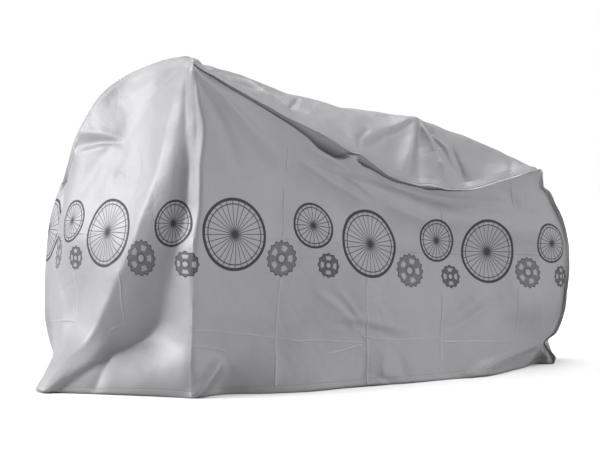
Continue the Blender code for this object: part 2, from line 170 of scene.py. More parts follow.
# The near panel's sections: places along it, then points, and the knee and hem in plan.
NEAR_SECTIONS = table(
    NearSection,
    (-0.86, (-0.209, 0.42, 0.657), (-0.252, 0.47, 0.47), (-0.266, 0.47), (-0.225, 0.42)),
    (-0.62, (-0.194, 0.355, 0.764), (-0.236, 0.26, 0.472), (-0.262, 0.29), (-0.3, 0.2)),
    (-0.46, (-0.11, 0.322, 0.927), (-0.196, 0.105, 0.474), (-0.236, 0.13), (-0.386, 0.02)),
    (-0.32, (-0.022, 0.282, 1.001), (-0.158, -0.03, 0.474), (-0.19, -0.01), (-0.36, -0.06)),
    (-0.2, (0.038, 0.11, 1.033), (-0.105, -0.135, 0.474), (-0.12, -0.115), (-0.25, -0.15)),
    (-0.09, (0.028, -0.13, 1.024), (-0.052, -0.228, 0.474), (-0.052, -0.215), (-0.12, -0.235)),
    (0.0, (0.01, -0.285, 1.0), (0.0, -0.3, 0.474), (-0.002, -0.296), (-0.012, -0.284)),
    (0.1, (0.1, -0.284, 0.945), (0.095, -0.288, 0.473), (0.098, -0.284), (0.1, -0.262)),
    (0.25, (0.237, -0.262, 0.884), (0.245, -0.264, 0.47), (0.245, -0.272), (0.238, -0.314)),
    (0.4, (0.374, -0.239, 0.827), (0.394, -0.24, 0.464), (0.392, -0.262), (0.345, -0.326)),
    (0.6, (0.574, -0.207, 0.742), (0.592, -0.206, 0.436), (0.588, -0.244), (0.56, -0.298)),
    (0.77, (0.756, -0.177, 0.652), (0.758, -0.178, 0.416), (0.75, -0.232), (0.72, -0.296)),
    (0.92, (0.9, -0.154, 0.63), (0.905, -0.154, 0.404), (0.9, -0.214), (0.88, -0.284)),
    (1.06, (1.047, -0.13, 0.623), (1.045, -0.132, 0.396), (1.04, -0.192), (1.02, -0.268)),
    (1.22, (1.2, -0.105, 0.653), (1.205, -0.11, 0.39), (1.2, -0.158), (1.19, -0.17)),
    (1.36, (1.32, -0.086, 0.678), (1.35, -0.088, 0.384), (1.35, -0.13), (1.35, -0.06)),
    (1.52, (1.4, -0.055, 0.688), (1.512, -0.05, 0.38), (1.49, -0.07), (1.418, -0.104)),
)

# The far panel's sections, which start at these places along the near panel's top edge.
FAR_SECTIONS = table(
    FarSection,
    (-0.62, (-0.15, 0.396, 0.752), (-0.112, 0.43, 0.708), (-0.088, 0.456, 0.63),
     (-0.08, 0.486, 0.42), (-0.076, 0.496), (-0.07, 0.478)),
    (-0.46, (-0.078, 0.344, 0.928), (-0.04, 0.366, 0.892), (-0.014, 0.394, 0.79),
     (0.0, 0.44, 0.42), (0.01, 0.468), (0.02, 0.48)),
    (-0.32, (0.006, 0.296, 1.003), (0.046, 0.312, 0.978), (0.08, 0.34, 0.86),
     (0.13, 0.404, 0.42), (0.14, 0.434), (0.15, 0.45)),
    (-0.2, (0.076, 0.13, 1.034), (0.136, 0.168, 1.0), (0.222, 0.268, 0.872), (0.29, 0.36, 0.42),
     (0.31, 0.386), (0.32, 0.42)),
    (-0.09, (0.096, -0.07, 1.02), (0.18, 0.02, 0.996), (0.332, 0.206, 0.868),
     (0.43, 0.326, 0.42), (0.45, 0.35), (0.45, 0.37)),
    (0.0, (0.12, -0.16, 0.984), (0.262, 0.0, 0.982), (0.44, 0.184, 0.862), (0.55, 0.294, 0.42),
     (0.56, 0.32), (0.57, 0.35)),
    (0.16, (0.236, -0.148, 0.952), (0.36, 0.0, 0.96), (0.54, 0.166, 0.85), (0.66, 0.268, 0.42),
     (0.67, 0.296), (0.68, 0.31)),
    (0.4, (0.428, -0.124, 0.884), (0.5, 0.0, 0.923), (0.64, 0.146, 0.83), (0.78, 0.244, 0.42),
     (0.79, 0.27), (0.8, 0.29)),
    (0.6, (0.602, -0.104, 0.822), (0.65, 0.0, 0.89), (0.744, 0.132, 0.8), (0.88, 0.222, 0.42),
     (0.89, 0.246), (0.89, 0.25)),
    (0.77, (0.776, -0.09, 0.772), (0.8, 0.0, 0.881), (0.858, 0.12, 0.786), (0.98, 0.2, 0.42),
     (0.985, 0.222), (0.99, 0.24)),
    (0.92, (0.91, -0.078, 0.762), (0.925, 0.0, 0.868), (0.966, 0.106, 0.768),
     (1.08, 0.18, 0.42), (1.085, 0.2), (1.09, 0.206)),
    (1.06, (1.046, -0.068, 0.722), (1.05, 0.0, 0.818), (1.08, 0.094, 0.712), (1.19, 0.16, 0.41),
     (1.195, 0.178), (1.2, 0.19)),
    (1.22, (1.2, -0.058, 0.7), (1.2, 0.0, 0.76), (1.222, 0.076, 0.664), (1.32, 0.136, 0.4),
     (1.325, 0.148), (1.32, 0.15)),
    (1.36, (1.326, -0.048, 0.694), (1.33, 0.0, 0.716), (1.372, 0.052, 0.61),
     (1.47, 0.092, 0.38), (1.47, 0.098), (1.44, 0.1)),
    (1.46, (1.382, -0.036, 0.69), (1.402, -0.006, 0.676), (1.452, 0.006, 0.59),
     (1.546, 0.016, 0.36), (1.534, 0.014), (1.46, 0.0)),
)

# The long pleat from the near handgrip to the front tip of the hem, a row for each height.
PLEAT_ROWS = table(
    PleatRow,
    (0.0, -0.4, -0.33, 0.01, 0.015, 0.02),
    (0.06, -0.404, -0.272, 0.006, 0.025, 0.034),
    (0.115, -0.4, -0.23, 0.003, 0.035, 0.048),
    (0.16, -0.382, -0.168, 0.0, 0.042, 0.058),
    (0.225, -0.35, -0.122, -0.003, 0.046, 0.06),
    (0.31, -0.305, -0.1, -0.004, 0.048, 0.058),
    (0.4, -0.258, -0.082, -0.003, 0.048, 0.054),
    (0.48, -0.222, -0.046, 0.002, 0.048, 0.052),
    (0.57, -0.196, -0.026, 0.024, 0.048, 0.054),
    (0.69, -0.164, -0.028, 0.034, 0.046, 0.054),
    (0.79, -0.144, -0.034, 0.042, 0.04, 0.048),
    (0.89, -0.108, -0.04, 0.02, 0.028, 0.034),
    (0.96, -0.078, -0.038, -0.002, 0.014, 0.018),
    (1.0, -0.062, -0.034, -0.014, 0.005, 0.006),
    (1.04, -0.05, -0.032, -0.02, 0.0, 0.0),
)
PLEAT_WAY = (0.407, 0.914)          # the level direction in which the valley is drawn in
PLEAT_REACH = 0.17                  # how far beyond the ridge the front face bulges with it
PLEAT_CROWN = 0.012                 # how far the flank of the pleat is rounded outwards

# How far the rear weld is drawn in towards the front at each height, by the gathered hem and by
# the films' own corner below the top weld.
REAR_ROWS = table(
    Knot,
    (0.0, 0.0), (0.022, 0.006), (0.042, 0.03), (0.06, 0.052), (0.076, 0.068), (0.09, 0.054),
    (0.106, 0.03), (0.15, 0.018), (0.21, 0.01), (0.32, 0.005), (0.48, 0.003), (0.56, 0.012),
    (0.605, 0.018), (0.622, 0.036), (0.65, 0.028), (0.69, 0.008),
)
REAR_START = 1.3                    # where along both panels this draw begins

# The pocket under the top weld, where the near panel is drawn in: how far down it reaches at
# places along the panel.
POCKET_ROWS = table(
    Knot,
    (-0.86, 0.002), (-0.1, 0.002), (0.02, 0.004), (0.1, 0.008), (0.2, 0.01), (0.28, 0.013),
    (0.36, 0.018), (0.43, 0.026), (0.48, 0.04), (0.53, 0.042), (0.565, 0.03), (0.59, 0.01),
    (0.612, 0.007), (0.628, 0.024), (0.67, 0.016), (0.745, 0.01), (0.85, 0.008), (0.905, 0.014),
    (0.96, 0.008), (1.1, 0.005), (1.3, 0.002), (1.52, 0.002),
)
POCKET_SLOPE = 0.95                 # how deep the pocket is for each metre of its reach
POCKET_FLOOR = 0.35                 # how much further down its lower side comes out again

# Small kinks of the top weld, beside the smooth line of the sections: how far it is raised at
# places along the panel.
SEAM_ROWS = table(
    Knot,
    (0.42, 0.0), (0.52, -0.001), (0.59, -0.004), (0.602, -0.002), (0.626, 0.007), (0.67, 0.005),
    (0.745, 0.001), (0.85, 0.0), (0.9, 0.005), (0.935, 0.003), (0.98, -0.005), (1.04, -0.003),
    (1.12, 0.0),
)
SEAM_REACH = 0.025                  # how far down the panels a kink is felt

# The near panel's main folds, much as on its CAD solid.
NEAR_FOLDS = table(
    Fold,
    # Soft folds that fan out over the front face.
    (((-0.07, 1.03), (-0.22, 0.919), (-0.295, 0.835), (-0.375, 0.767), (-0.43, 0.69)),
     0.012, 0.036, -0.006, 2.0),
    (((-0.08, 1.04), (-0.26, 0.942), (-0.38, 0.87), (-0.46, 0.821)), 0.012, 0.036, 0.003, 2.0),
    # The dart below the far handgrip.
    (((-0.6, 0.758), (-0.54, 0.768), (-0.455, 0.777), (-0.33, 0.776)), 0.026, 0.01, -0.013, 1.6),
    # The near side sags in two long soft folds that run down to the rear.
    (((0.44, 0.72), (0.56, 0.69), (0.77, 0.632), (0.905, 0.596), (1.035, 0.564), (1.4, 0.51)),
     0.03, 0.03, -0.008, 2.0),
    (((0.56, 0.64), (0.65, 0.62), (0.895, 0.537), (1.2, 0.489), (1.48, 0.45)),
     0.04, 0.04, 0.008, 2.0),
    (((0.1, 0.8), (0.195, 0.741), (0.415, 0.62), (0.685, 0.507), (1.0, 0.44)),
     0.045, 0.05, -0.007, 2.0),
    # The hem is tucked under at the rear, and its last corner stands out.
    (((0.98, 0.0), (1.1, 0.03), (1.245, 0.055), (1.36, 0.078), (1.44, 0.08)),
     0.02, 0.034, 0.016, 1.6),
    # A valley beside the front weld.
    (((-0.8, 0.62), (-0.76, 0.56), (-0.76, 0.48), (-0.72, 0.36)), 0.02, 0.024, -0.012, 1.6),
)

# The far panel's main folds.
FAR_FOLDS = table(
    Fold,
    # The folds that fan out from the saddle's nose, and a swell behind the handlebars.
    (((0.93, 0.3), (0.77, 0.209), (0.6, 0.06)), 0.02, 0.04, 0.01, 1.6),
    (((0.925, 0.3), (0.835, 0.129), (0.745, -0.04)), 0.018, 0.036, 0.009, 1.6),
    (((0.93, 0.3), (0.9, 0.13), (0.85, -0.03)), 0.016, 0.034, -0.009, 1.6),
    (((0.93, 0.3), (0.97, 0.139), (0.99, -0.02)), 0.016, 0.034, 0.01, 1.6),
    (((0.94, 0.3), (1.03, 0.087), (1.08, -0.02)), 0.018, 0.034, -0.011, 1.6),
    (((0.05, 0.15), (0.235, 0.07), (0.38, 0.03)), 0.024, 0.03, 0.008, 1.6),
    # Plain hanging folds on the side away from the viewer.
    (((-0.3, 0.3), (-0.34, 0.7), (-0.36, 1.2)), 0.03, 0.07, 0.022, 2.0),
    (((-0.04, 0.5), (-0.06, 0.8), (-0.08, 1.3)), 0.03, 0.08, -0.024, 2.0),
    (((0.28, 0.45), (0.26, 0.8), (0.25, 1.35)), 0.03, 0.08, 0.022, 2.0),
    (((0.56, 0.45), (0.54, 0.8), (0.52, 1.3)), 0.03, 0.07, -0.02, 2.0),
    (((0.88, 0.42), (0.86, 0.7), (0.84, 1.25)), 0.026, 0.07, 0.022, 2.0),
    (((1.18, 0.25), (1.17, 0.6), (1.16, 1.1)), 0.026, 0.06, -0.016, 2.0),
)

# How far apart the columns of the near panel are set, at places along it.
SPACING = table(
    Knot,
    (-0.86, 1.1), (-0.5, 0.8), (-0.3, 0.6), (0.06, 0.55), (0.15, 1.1), (1.0, 1.1), (1.52, 1.0),
)

# The same for its rows, from the top weld at 0 to the hem at 1.
DOWN_SPACING = table(Knot, (0.0, 0.25), (0.08, 0.35), (0.14, 1.0), (1.0, 1.0))

# The far panel is set more closely where its roof shows, above all around the saddle.
FAR_SPACING = table(
    Knot,
    (-0.86, 1.4), (-0.2, 1.2), (0.1, 0.9), (0.6, 0.9), (0.78, 0.55), (1.1, 0.55), (1.2, 1.2),
    (1.52, 1.3),
)
FAR_DOWN_SPACING = table(Knot, (0.0, 0.35), (0.22, 0.42), (0.32, 1.2), (1.0, 1.3))

# Small folds that only the finished film shows, on top of the near panel's main ones.
NEAR_SMALL_FOLDS = table(
    Fold,
    # Bright swell beside the dart below the far handgrip, and the crease under it.
    (((-0.6, 0.812), (-0.435, 0.8), (-0.33, 0.784)), 0.02, 0.01, 0.008, 1.4),
    (((-0.6, 0.73), (-0.47, 0.752), (-0.345, 0.772)), 0.014, 0.008, 0.006, 1.2),
    # Straight streaks that fan out from the near handgrip, and the soft bands under the dart.
    (((-0.055, 1.0), (-0.16, 0.945), (-0.245, 0.893), (-0.32, 0.83)), 0.005, 0.012, 0.004, 1.3),
    (((-0.115, 0.885), (-0.135, 0.841), (-0.155, 0.77), (-0.17, 0.721)),
     0.006, 0.007, -0.003, 1.2),
    (((-0.39, 0.765), (-0.49, 0.69), (-0.57, 0.6), (-0.62, 0.51)), 0.014, 0.05, -0.007, 2.0),
    (((-0.305, 0.767), (-0.37, 0.686), (-0.43, 0.599), (-0.47, 0.534)), 0.014, 0.04, 0.004, 2.0),
    # Crumples of the front face.
    (((-0.28, 0.763), (-0.26, 0.726), (-0.255, 0.678), (-0.265, 0.586)),
     0.006, 0.008, -0.003, 1.1),
    (((-0.56, 0.4), (-0.51, 0.28), (-0.48, 0.19)), 0.012, 0.018, -0.005, 1.2),
    (((-0.7, 0.33), (-0.6, 0.25), (-0.52, 0.13)), 0.02, 0.028, 0.006, 1.6),
    (((-0.32, 0.56), (-0.3, 0.43), (-0.33, 0.3)), 0.018, 0.026, 0.005, 1.6),
    (((-0.245, 0.11), (-0.235, 0.05), (-0.23, 0.0)), 0.012, 0.018, -0.01, 1.3),
    (((-0.48, 0.12), (-0.5, 0.05), (-0.52, 0.0)), 0.018, 0.026, -0.008, 1.5),
    (((-0.6, 0.16), (-0.64, 0.08), (-0.68, 0.0)), 0.02, 0.03, 0.007, 1.5),
    # The near side: a wedge at the foot of the corner, and the dip beside it.
    (((-0.01, -0.012), (0.05, 0.058), (0.1, 0.105)), 0.01, 0.017, 0.022, 1.3),
    (((0.04, 0.0), (0.09, 0.04), (0.14, 0.08)), 0.016, 0.02, -0.006, 1.5),
    # A soft fold that spreads from the near handgrip over the near side.
    (((0.006, 0.975), (0.1, 0.893), (0.21, 0.795), (0.33, 0.7)), 0.006, 0.028, 0.01, 2.0),
    (((0.022, 0.95), (0.07, 0.87), (0.13, 0.765), (0.18, 0.65)), 0.006, 0.026, -0.007, 2.0),
    # Waves of the hem, and soft folds that run down to the rear.
    (((0.58, 0.0), (0.6, 0.04), (0.61, 0.09)), 0.02, 0.014, -0.005, 1.4),
    (((0.67, 0.0), (0.675, 0.05), (0.69, 0.11)), 0.026, 0.016, 0.007, 1.4),
    (((0.76, 0.0), (0.755, 0.04), (0.75, 0.08)), 0.02, 0.014, -0.004, 1.4),
    (((0.27, 0.0), (0.275, 0.06), (0.285, 0.12)), 0.03, 0.018, 0.005, 1.5),
    (((1.02, 0.56), (1.18, 0.535), (1.33, 0.515)), 0.014, 0.018, 0.004, 1.3),
    (((0.42, 0.7), (0.56, 0.655), (0.76, 0.6)), 0.012, 0.016, 0.004, 1.3),
    (((0.9, 0.6), (1.06, 0.585), (1.3, 0.57)), 0.012, 0.02, -0.005, 1.3),
    (((1.18, 0.64), (1.25, 0.6), (1.29, 0.54)), 0.014, 0.016, -0.005, 1.3),
    # Straight ridges that run down to the rear above the print.
    (((0.39, 0.715), (0.465, 0.67), (0.52, 0.635), (0.645, 0.57)), 0.006, 0.01, 0.004, 1.3),
    (((0.4, 0.735), (0.495, 0.692), (0.55, 0.658), (0.66, 0.592)), 0.006, 0.01, -0.003, 1.4),
    (((0.425, 0.748), (0.495, 0.723), (0.585, 0.677)), 0.005, 0.009, 0.003, 1.3),
    (((0.555, 0.665), (0.6, 0.636), (0.67, 0.588)), 0.004, 0.008, 0.0025, 1.3),
    (((0.715, 0.567), (0.81, 0.533), (0.955, 0.491)), 0.01, 0.018, 0.004, 1.6),
    # Small soft folds that meet where the packing creases cross, and a dip in the hem below.
    (((0.43, 0.3), (0.5, 0.255), (0.55, 0.21), (0.6, 0.156)), 0.007, 0.013, 0.004, 1.4),
    (((0.47, 0.305), (0.535, 0.262), (0.578, 0.21), (0.603, 0.156)), 0.006, 0.01, -0.0035, 1.3),
    (((0.515, 0.3), (0.568, 0.24), (0.606, 0.16)), 0.006, 0.011, 0.0035, 1.3),
    (((0.48, 0.196), (0.565, 0.19), (0.66, 0.168), (0.765, 0.137)), 0.006, 0.012, -0.0045, 1.4),
    (((0.5, 0.215), (0.58, 0.207), (0.68, 0.186), (0.8, 0.158)), 0.007, 0.013, 0.0035, 1.4),
    (((0.93, 0.136), (1.055, 0.195), (1.19, 0.251)), 0.009, 0.018, -0.005, 1.6),
    (((0.93, 0.18), (1.03, 0.22), (1.13, 0.27)), 0.009, 0.018, 0.004, 1.6),
    (((0.61, -0.004), (0.655, 0.026), (0.735, -0.004)), 0.01, 0.01, -0.007, 1.4),
    # The hem tucked under at the rear, in a sharp lip and a small point.
    (((1.06, 0.03), (1.15, 0.046), (1.245, 0.064), (1.35, 0.086)), 0.01, 0.012, 0.008, 1.2),
    (((1.09, 0.012), (1.15, 0.03), (1.225, 0.041), (1.29, 0.053), (1.35, 0.068)),
     0.008, 0.01, -0.014, 1.3),
    (((1.24, -0.004), (1.29, 0.014), (1.32, 0.036), (1.37, 0.066)), 0.012, 0.009, 0.012, 1.3),
    (((1.34, 0.02), (1.4, 0.026), (1.48, 0.01)), 0.01, 0.008, -0.008, 1.2),
    (((1.38, 0.066), (1.43, 0.044), (1.49, 0.02)), 0.01, 0.008, 0.006, 1.3),
)

# Small folds of the far panel.
FAR_SMALL_FOLDS = table(
    Fold,
    # Sharp folds that spread from the saddle's nose, and the streaks behind the handlebars.
    (((0.915, 0.262), (0.872, 0.175), (0.825, 0.067), (0.8, -0.01)), 0.008, 0.02, 0.008, 1.0),
    (((0.925, 0.255), (0.905, 0.17), (0.86, 0.04)), 0.008, 0.016, -0.005, 1.1),
    (((0.93, 0.255), (0.948, 0.19), (0.955, 0.14)), 0.008, 0.013, 0.009, 1.0),
    (((0.94, 0.262), (0.972, 0.206), (0.99, 0.155)), 0.01, 0.013, -0.01, 1.1),
    (((0.975, 0.215), (1.018, 0.16), (1.036, 0.09)), 0.009, 0.014, 0.009, 1.0),
    (((0.96, 0.1), (1.01, 0.06), (1.05, 0.01)), 0.012, 0.018, 0.006, 1.2),
    (((1.045, 0.17), (1.064, 0.089), (1.072, 0.01)), 0.008, 0.01, -0.008, 1.1),
    (((0.89, 0.255), (0.745, 0.175), (0.675, 0.088), (0.635, 0.028)), 0.01, 0.022, -0.007, 1.4),
    (((0.38, 0.23), (0.368, 0.13), (0.358, 0.08)), 0.008, 0.009, -0.01, 1.1),
    (((0.12, 0.21), (0.27, 0.107), (0.365, 0.062)), 0.01, 0.016, 0.012, 1.1),
    (((0.16, 0.26), (0.3, 0.165), (0.43, 0.11)), 0.018, 0.026, -0.012, 1.4),
    (((0.68, 0.17), (0.632, 0.08), (0.622, 0.01)), 0.008, 0.009, -0.008, 1.1),
    (((1.31, 0.085), (1.285, 0.04), (1.255, -0.01)), 0.01, 0.012, -0.005, 1.2),
    (((0.48, 0.3), (0.62, 0.25), (0.8, 0.27)), 0.02, 0.026, -0.006, 1.5),
    (((1.05, 0.26), (1.18, 0.17), (1.3, 0.12)), 0.014, 0.02, 0.006, 1.4),
    # The roof sinks between the bars and the weld.
    (((-0.1, 0.11), (0.06, 0.095), (0.16, 0.11), (0.23, 0.12)), 0.034, 0.024, -0.018, 1.6),
    # Smaller folds between the big ones on the side away from the viewer.
    (((0.12, 0.48), (0.1, 0.8), (0.085, 1.2)), 0.016, 0.04, 0.01, 1.6),
    (((0.43, 0.47), (0.405, 0.8), (0.395, 1.2)), 0.016, 0.04, -0.01, 1.6),
    (((0.72, 0.43), (0.705, 0.76), (0.69, 1.15)), 0.016, 0.04, 0.009, 1.6),
    (((1.03, 0.4), (1.01, 0.7), (1.0, 1.1)), 0.014, 0.036, -0.01, 1.6),
    (((-0.18, 0.42), (-0.19, 0.75), (-0.2, 1.2)), 0.018, 0.04, 0.01, 1.6),
    (((-0.47, 0.2), (-0.48, 0.6), (-0.49, 1.0)), 0.018, 0.04, -0.01, 1.6),
)

# Where the film was folded flat in its packet: places along the panels and heights from the
# print, and whether the crease there stands out (1) or in (-1).
PACKED_ALONG = table(
    Knot,
    (-0.8, -1), (-0.52, 1), (-0.27, -1), (0.0, 1), (0.3, -1), (0.62, 1), (0.92, -1), (1.255, 1),
)
PACKED_UP = table(Knot, (-0.42, 1), (-0.3, -1), (0.0, 1), (0.24, -1), (0.48, 1))
PACKED_RISE = 0.0065                # how far these creases are from the mean along the panels
PACKED_UP_RISE = 0.0095             # and up the near one
PACKED_ROUNDING = 0.02              # how wide their turn is

# The sharp creases on the flat-cut film: distance along and height above the print's middle.
NEAR_CREASES = table(
    Crease,
    ((-0.54, -0.105), (-0.485, -0.275), 0.0024),
    ((-0.28, -0.102), (-0.255, -0.275), 0.0022),
    ((-0.002, 0.0), (0.002, -0.47), 0.0028),
    ((0.31, -0.105), (0.275, -0.45), 0.0024),
    ((0.625, -0.09), (0.615, -0.44), 0.0024),
    ((0.94, -0.135), (0.895, -0.395), 0.0024),
    ((1.255, -0.12), (1.255, -0.295), 0.0022),
    ((0.355, 0.28), (0.35, 0.215), 0.002),
    ((1.26, 0.27), (1.27, 0.165), 0.002),
    ((0.0, -0.27), (0.29, -0.305), 0.0022),
    ((0.29, -0.305), (0.365, -0.315), 0.0022),
    ((0.365, -0.315), (0.595, -0.31), 0.002),
    ((0.605, -0.29), (0.74, -0.295), 0.0022),
    ((0.74, -0.295), (0.905, -0.285), 0.002),
    ((0.905, -0.3), (1.245, -0.3), 0.0022),
    ((-0.3, -0.29), (-0.25, -0.272), 0.0022),
    ((-0.805, -0.3), (-0.495, -0.28), 0.0022),
    ((0.0, -0.315), (0.11, -0.345), 0.0018),
    ((0.475, -0.355), (0.595, -0.32), 0.0018),
    ((0.05, 0.004), (0.52, -0.002), 0.0014),
    ((0.56, 0.0), (1.38, 0.006), 0.0014),
    ((-0.78, 0.0), (-0.42, 0.006), 0.0014),
    ((0.31, -0.02), (0.33, 0.15), 0.0013),
    ((0.93, 0.0), (0.95, 0.15), 0.0013),
)
FAR_CREASES = table(
    Crease,
    ((-0.54, 0.3), (-0.5, -0.38), 0.0022),
    ((-0.27, 0.42), (-0.26, -0.4), 0.0022),
    ((0.0, 0.45), (0.004, -0.4), 0.0022),
    ((0.305, 0.42), (0.29, -0.4), 0.0024),
    ((0.625, 0.4), (0.615, -0.4), 0.0022),
    ((0.935, 0.42), (0.915, -0.4), 0.0024),
    ((1.255, 0.3), (1.255, -0.38), 0.0022),
    ((-0.6, -0.28), (0.3, -0.3), 0.0022),
    ((0.3, -0.285), (0.93, -0.3), 0.0022),
    ((0.93, -0.29), (1.4, -0.285), 0.002),
    ((-0.5, 0.01), (0.6, 0.0), 0.0015),
    ((0.6, 0.006), (1.42, 0.0), 0.0015),
    ((-0.2, 0.33), (0.62, 0.32), 0.0018),
    ((0.62, 0.335), (1.3, 0.32), 0.0018),
)


class Side(Enum):
    """The two panels of the bag, by their nodes."""

    NEAR = "near_panel"
    FAR = "far_panel"


class Edge(Enum):
    """The three welds, by their nodes."""

    TOP = "top_weld"
    FRONT = "front_weld"
    REAR = "rear_weld"


# -------------------------------------------------------------------------- shader nodes


# The sockets of a Mix node that take and give colours.
MIX_FIRST, MIX_SECOND, MIX_RESULT = 6, 7, 2


class Signal:
    """A socket of a material's nodes that takes part in Python expressions.

    Args:
        wiring: the material's nodes.
        socket: the output socket that gives the value.
    """

    def __init__(self, wiring: "Wiring", socket: bpy.types.NodeSocket) -> None:
        """Keeps the socket and the material that it belongs to."""
        self.wiring = wiring
        self.socket = socket

    def __add__(self, other: "Operand") -> "Signal":
        """Sum of two values."""
        return self.wiring.math("ADD", self, other)

    def __sub__(self, other: "Operand") -> "Signal":
        """Difference of two values."""
        return self.wiring.math("SUBTRACT", self, other)

    def __rsub__(self, other: "Operand") -> "Signal":
        """A number less this value."""
        return self.wiring.math("SUBTRACT", other, self)

    def __mul__(self, other: "Operand") -> "Signal":
        """Product of two values."""
        return self.wiring.math("MULTIPLY", self, other)

    def __pow__(self, other: "Operand") -> "Signal":
        """This value to a power."""
        return self.wiring.math("POWER", self, other)

    def __abs__(self) -> "Signal":
        """Size of this value."""
        return self.wiring.math("ABSOLUTE", self)

    __radd__ = __add__
    __rmul__ = __mul__


Operand = Union[Signal, float, Sequence[float]]


class Wiring:
    """Adds nodes to one material and joins them.

    Args:
        material: the material whose node tree is filled.
    """

    def __init__(self, material: bpy.types.Material) -> None:
        """Takes the material's nodes and its Principled shader."""
        material.use_nodes = True
        self.tree = material.node_tree
        self.shader = self.tree.nodes["Principled BSDF"]

    def node(
        self, kind: str, settings: dict[str, Any], inputs: dict[Any, Any]
    ) -> bpy.types.Node:
        """Adds a node.

        Args:
            kind: its Blender type, such as ShaderNodeMath.
            settings: its properties, set before the sockets.
            inputs: numbers or signals by socket name or number.

        Returns:
            The new node.
        """
        made = self.tree.nodes.new(kind)
        for name, value in settings.items():
            setattr(made, name, value)
        for name, value in inputs.items():
            self.plug(value, made.inputs[name])
        return made

    def signal(
        self, kind: str, settings: dict[str, Any], inputs: dict[Any, Any],
        output: Union[int, str] = 0,
    ) -> Signal:
        """Adds a node and takes one of its outputs.

        Args:
            kind: its Blender type.
            settings: its properties.
            inputs: numbers or signals by socket name or number.
            output: the output socket's name or number.

        Returns:
            What the output gives.
        """
        return Signal(self, self.node(kind, settings, inputs).outputs[output])

    def plug(self, value: Any, socket: bpy.types.NodeSocket) -> None:
        """Links a signal to a socket, or sets the socket's own value.

        Args:
            value: the signal, or the number or colour.
            socket: the socket that takes it.
        """
        if isinstance(value, Signal):
            self.tree.links.new(value.socket, socket)
        else:
            socket.default_value = value

    def math(self, operation: str, *operands: Operand, clamp: bool = False) -> Signal:
        """A Math node on one to three values."""
        settings = {"operation": operation, "use_clamp": clamp}
        return self.signal("ShaderNodeMath", settings, dict(enumerate(operands)))

    def highest(self, *values: Signal) -> Signal:
        """The highest of some values."""
        return reduce(lambda first, second: self.math("MAXIMUM", first, second), values)

    def vector(self, operation: str, *operands: Operand, output: str = "Vector") -> Signal:
        """A Vector Math node that gives a vector or, at its Value output, a number."""
        inputs = dict(enumerate(operands))
        return self.signal("ShaderNodeVectorMath", {"operation": operation}, inputs, output)

    def scaled(self, vector: Operand, factor: Operand) -> Signal:
        """A vector times a number."""
        inputs = {"Vector": vector, "Scale": factor}
        return self.signal("ShaderNodeVectorMath", {"operation": "SCALE"}, inputs, "Vector")

    def split(self, vector: Signal) -> tuple[Signal, ...]:
        """The three numbers of a vector."""
        made = self.node("ShaderNodeSeparateXYZ", {}, {0: vector})
        return tuple(Signal(self, output) for output in made.outputs)

    def noise(
        self, place: Signal, scale: float, detail: float = 3.0, output: Union[int, str] = 0
    ) -> Signal:
        """Noise of about this many waves to the metre, from 0 to 1."""
        inputs = {"Vector": place, "Scale": scale, "Detail": detail}
        return self.signal("ShaderNodeTexNoise", {"noise_dimensions": "3D"}, inputs, output)

    def wandering(self, place: Signal, wander: Spot) -> Signal:
        """The place, shifted sideways a little, by an amount that wanders over the surface.

        Args:
            place: the place.
            wander: how many waves to the metre the shift has, and how far it reaches.

        Returns:
            The shifted place.
        """
        scale, reach = wander
        shift = self.noise(place, scale, detail=2.0, output="Color")
        centred = self.vector("SUBTRACT", shift, (0.5, 0.5, 0.5))
        return self.vector("ADD", place, self.scaled(centred, reach))

    def colour_mix(self, factor: Operand, first: Any, second: Any) -> Signal:
        """A colour between two others."""
        inputs = {"Factor": factor, MIX_FIRST: first, MIX_SECOND: second}
        return self.signal("ShaderNodeMix", {"data_type": "RGBA"}, inputs, MIX_RESULT)

    def stretch(self, value: Signal, ends: Spot) -> Signal:
        """A smooth step between two values.

        Args:
            value: the value that is read.
            ends: where the step begins and ends.

        Returns:
            0 up to the first end and 1 from the second on.
        """
        settings = {"interpolation_type": "SMOOTHSTEP", "clamp": True}
        inputs = {"Value": value, "From Min": ends[0], "From Max": ends[1]}
        return self.signal("ShaderNodeMapRange", settings, inputs)

    def line(self, distance: Signal, half_width: float, softness: float) -> Signal:
        """1 within half a width of a line and 0 away from it."""
        offset = half_width / softness + 0.5
        return self.math("MULTIPLY_ADD", distance, -1.0 / softness, offset, clamp=True)

    def object_place(self) -> Signal:
        """The place on the piece, in metres."""
        return self.signal("ShaderNodeTexCoord", {}, {}, "Object")

    def cut_place(self) -> Signal:
        """The place on the flat-cut film, in metres."""
        return self.signal("ShaderNodeUVMap", {"uv_map": "cut"}, {})

    def attribute(self, name: str) -> Signal:
        """A number kept at each point of the piece."""
        return self.signal("ShaderNodeAttribute", {"attribute_name": name}, {}, "Fac")

    def finish(self, colour: Any, roughness: Any, height: Optional[Signal], metallic: Any) -> None:
        """Feeds the shader.

        Args:
            colour: its base colour.
            roughness: its roughness.
            height: how far the surface stands out, in metres, for the bump.
            metallic: how metallic it is.
        """
        self.plug(colour, self.shader.inputs["Base Color"])
        self.plug(roughness, self.shader.inputs["Roughness"])
        self.plug(metallic, self.shader.inputs["Metallic"])
        if height is not None:
            inputs = {"Strength": 1.0, "Distance": 1.0, "Height": height}
            bump = self.signal("ShaderNodeBump", {}, inputs)
            self.plug(bump, self.shader.inputs["Normal"])


# ----------------------------------------------------------------------------- finishes


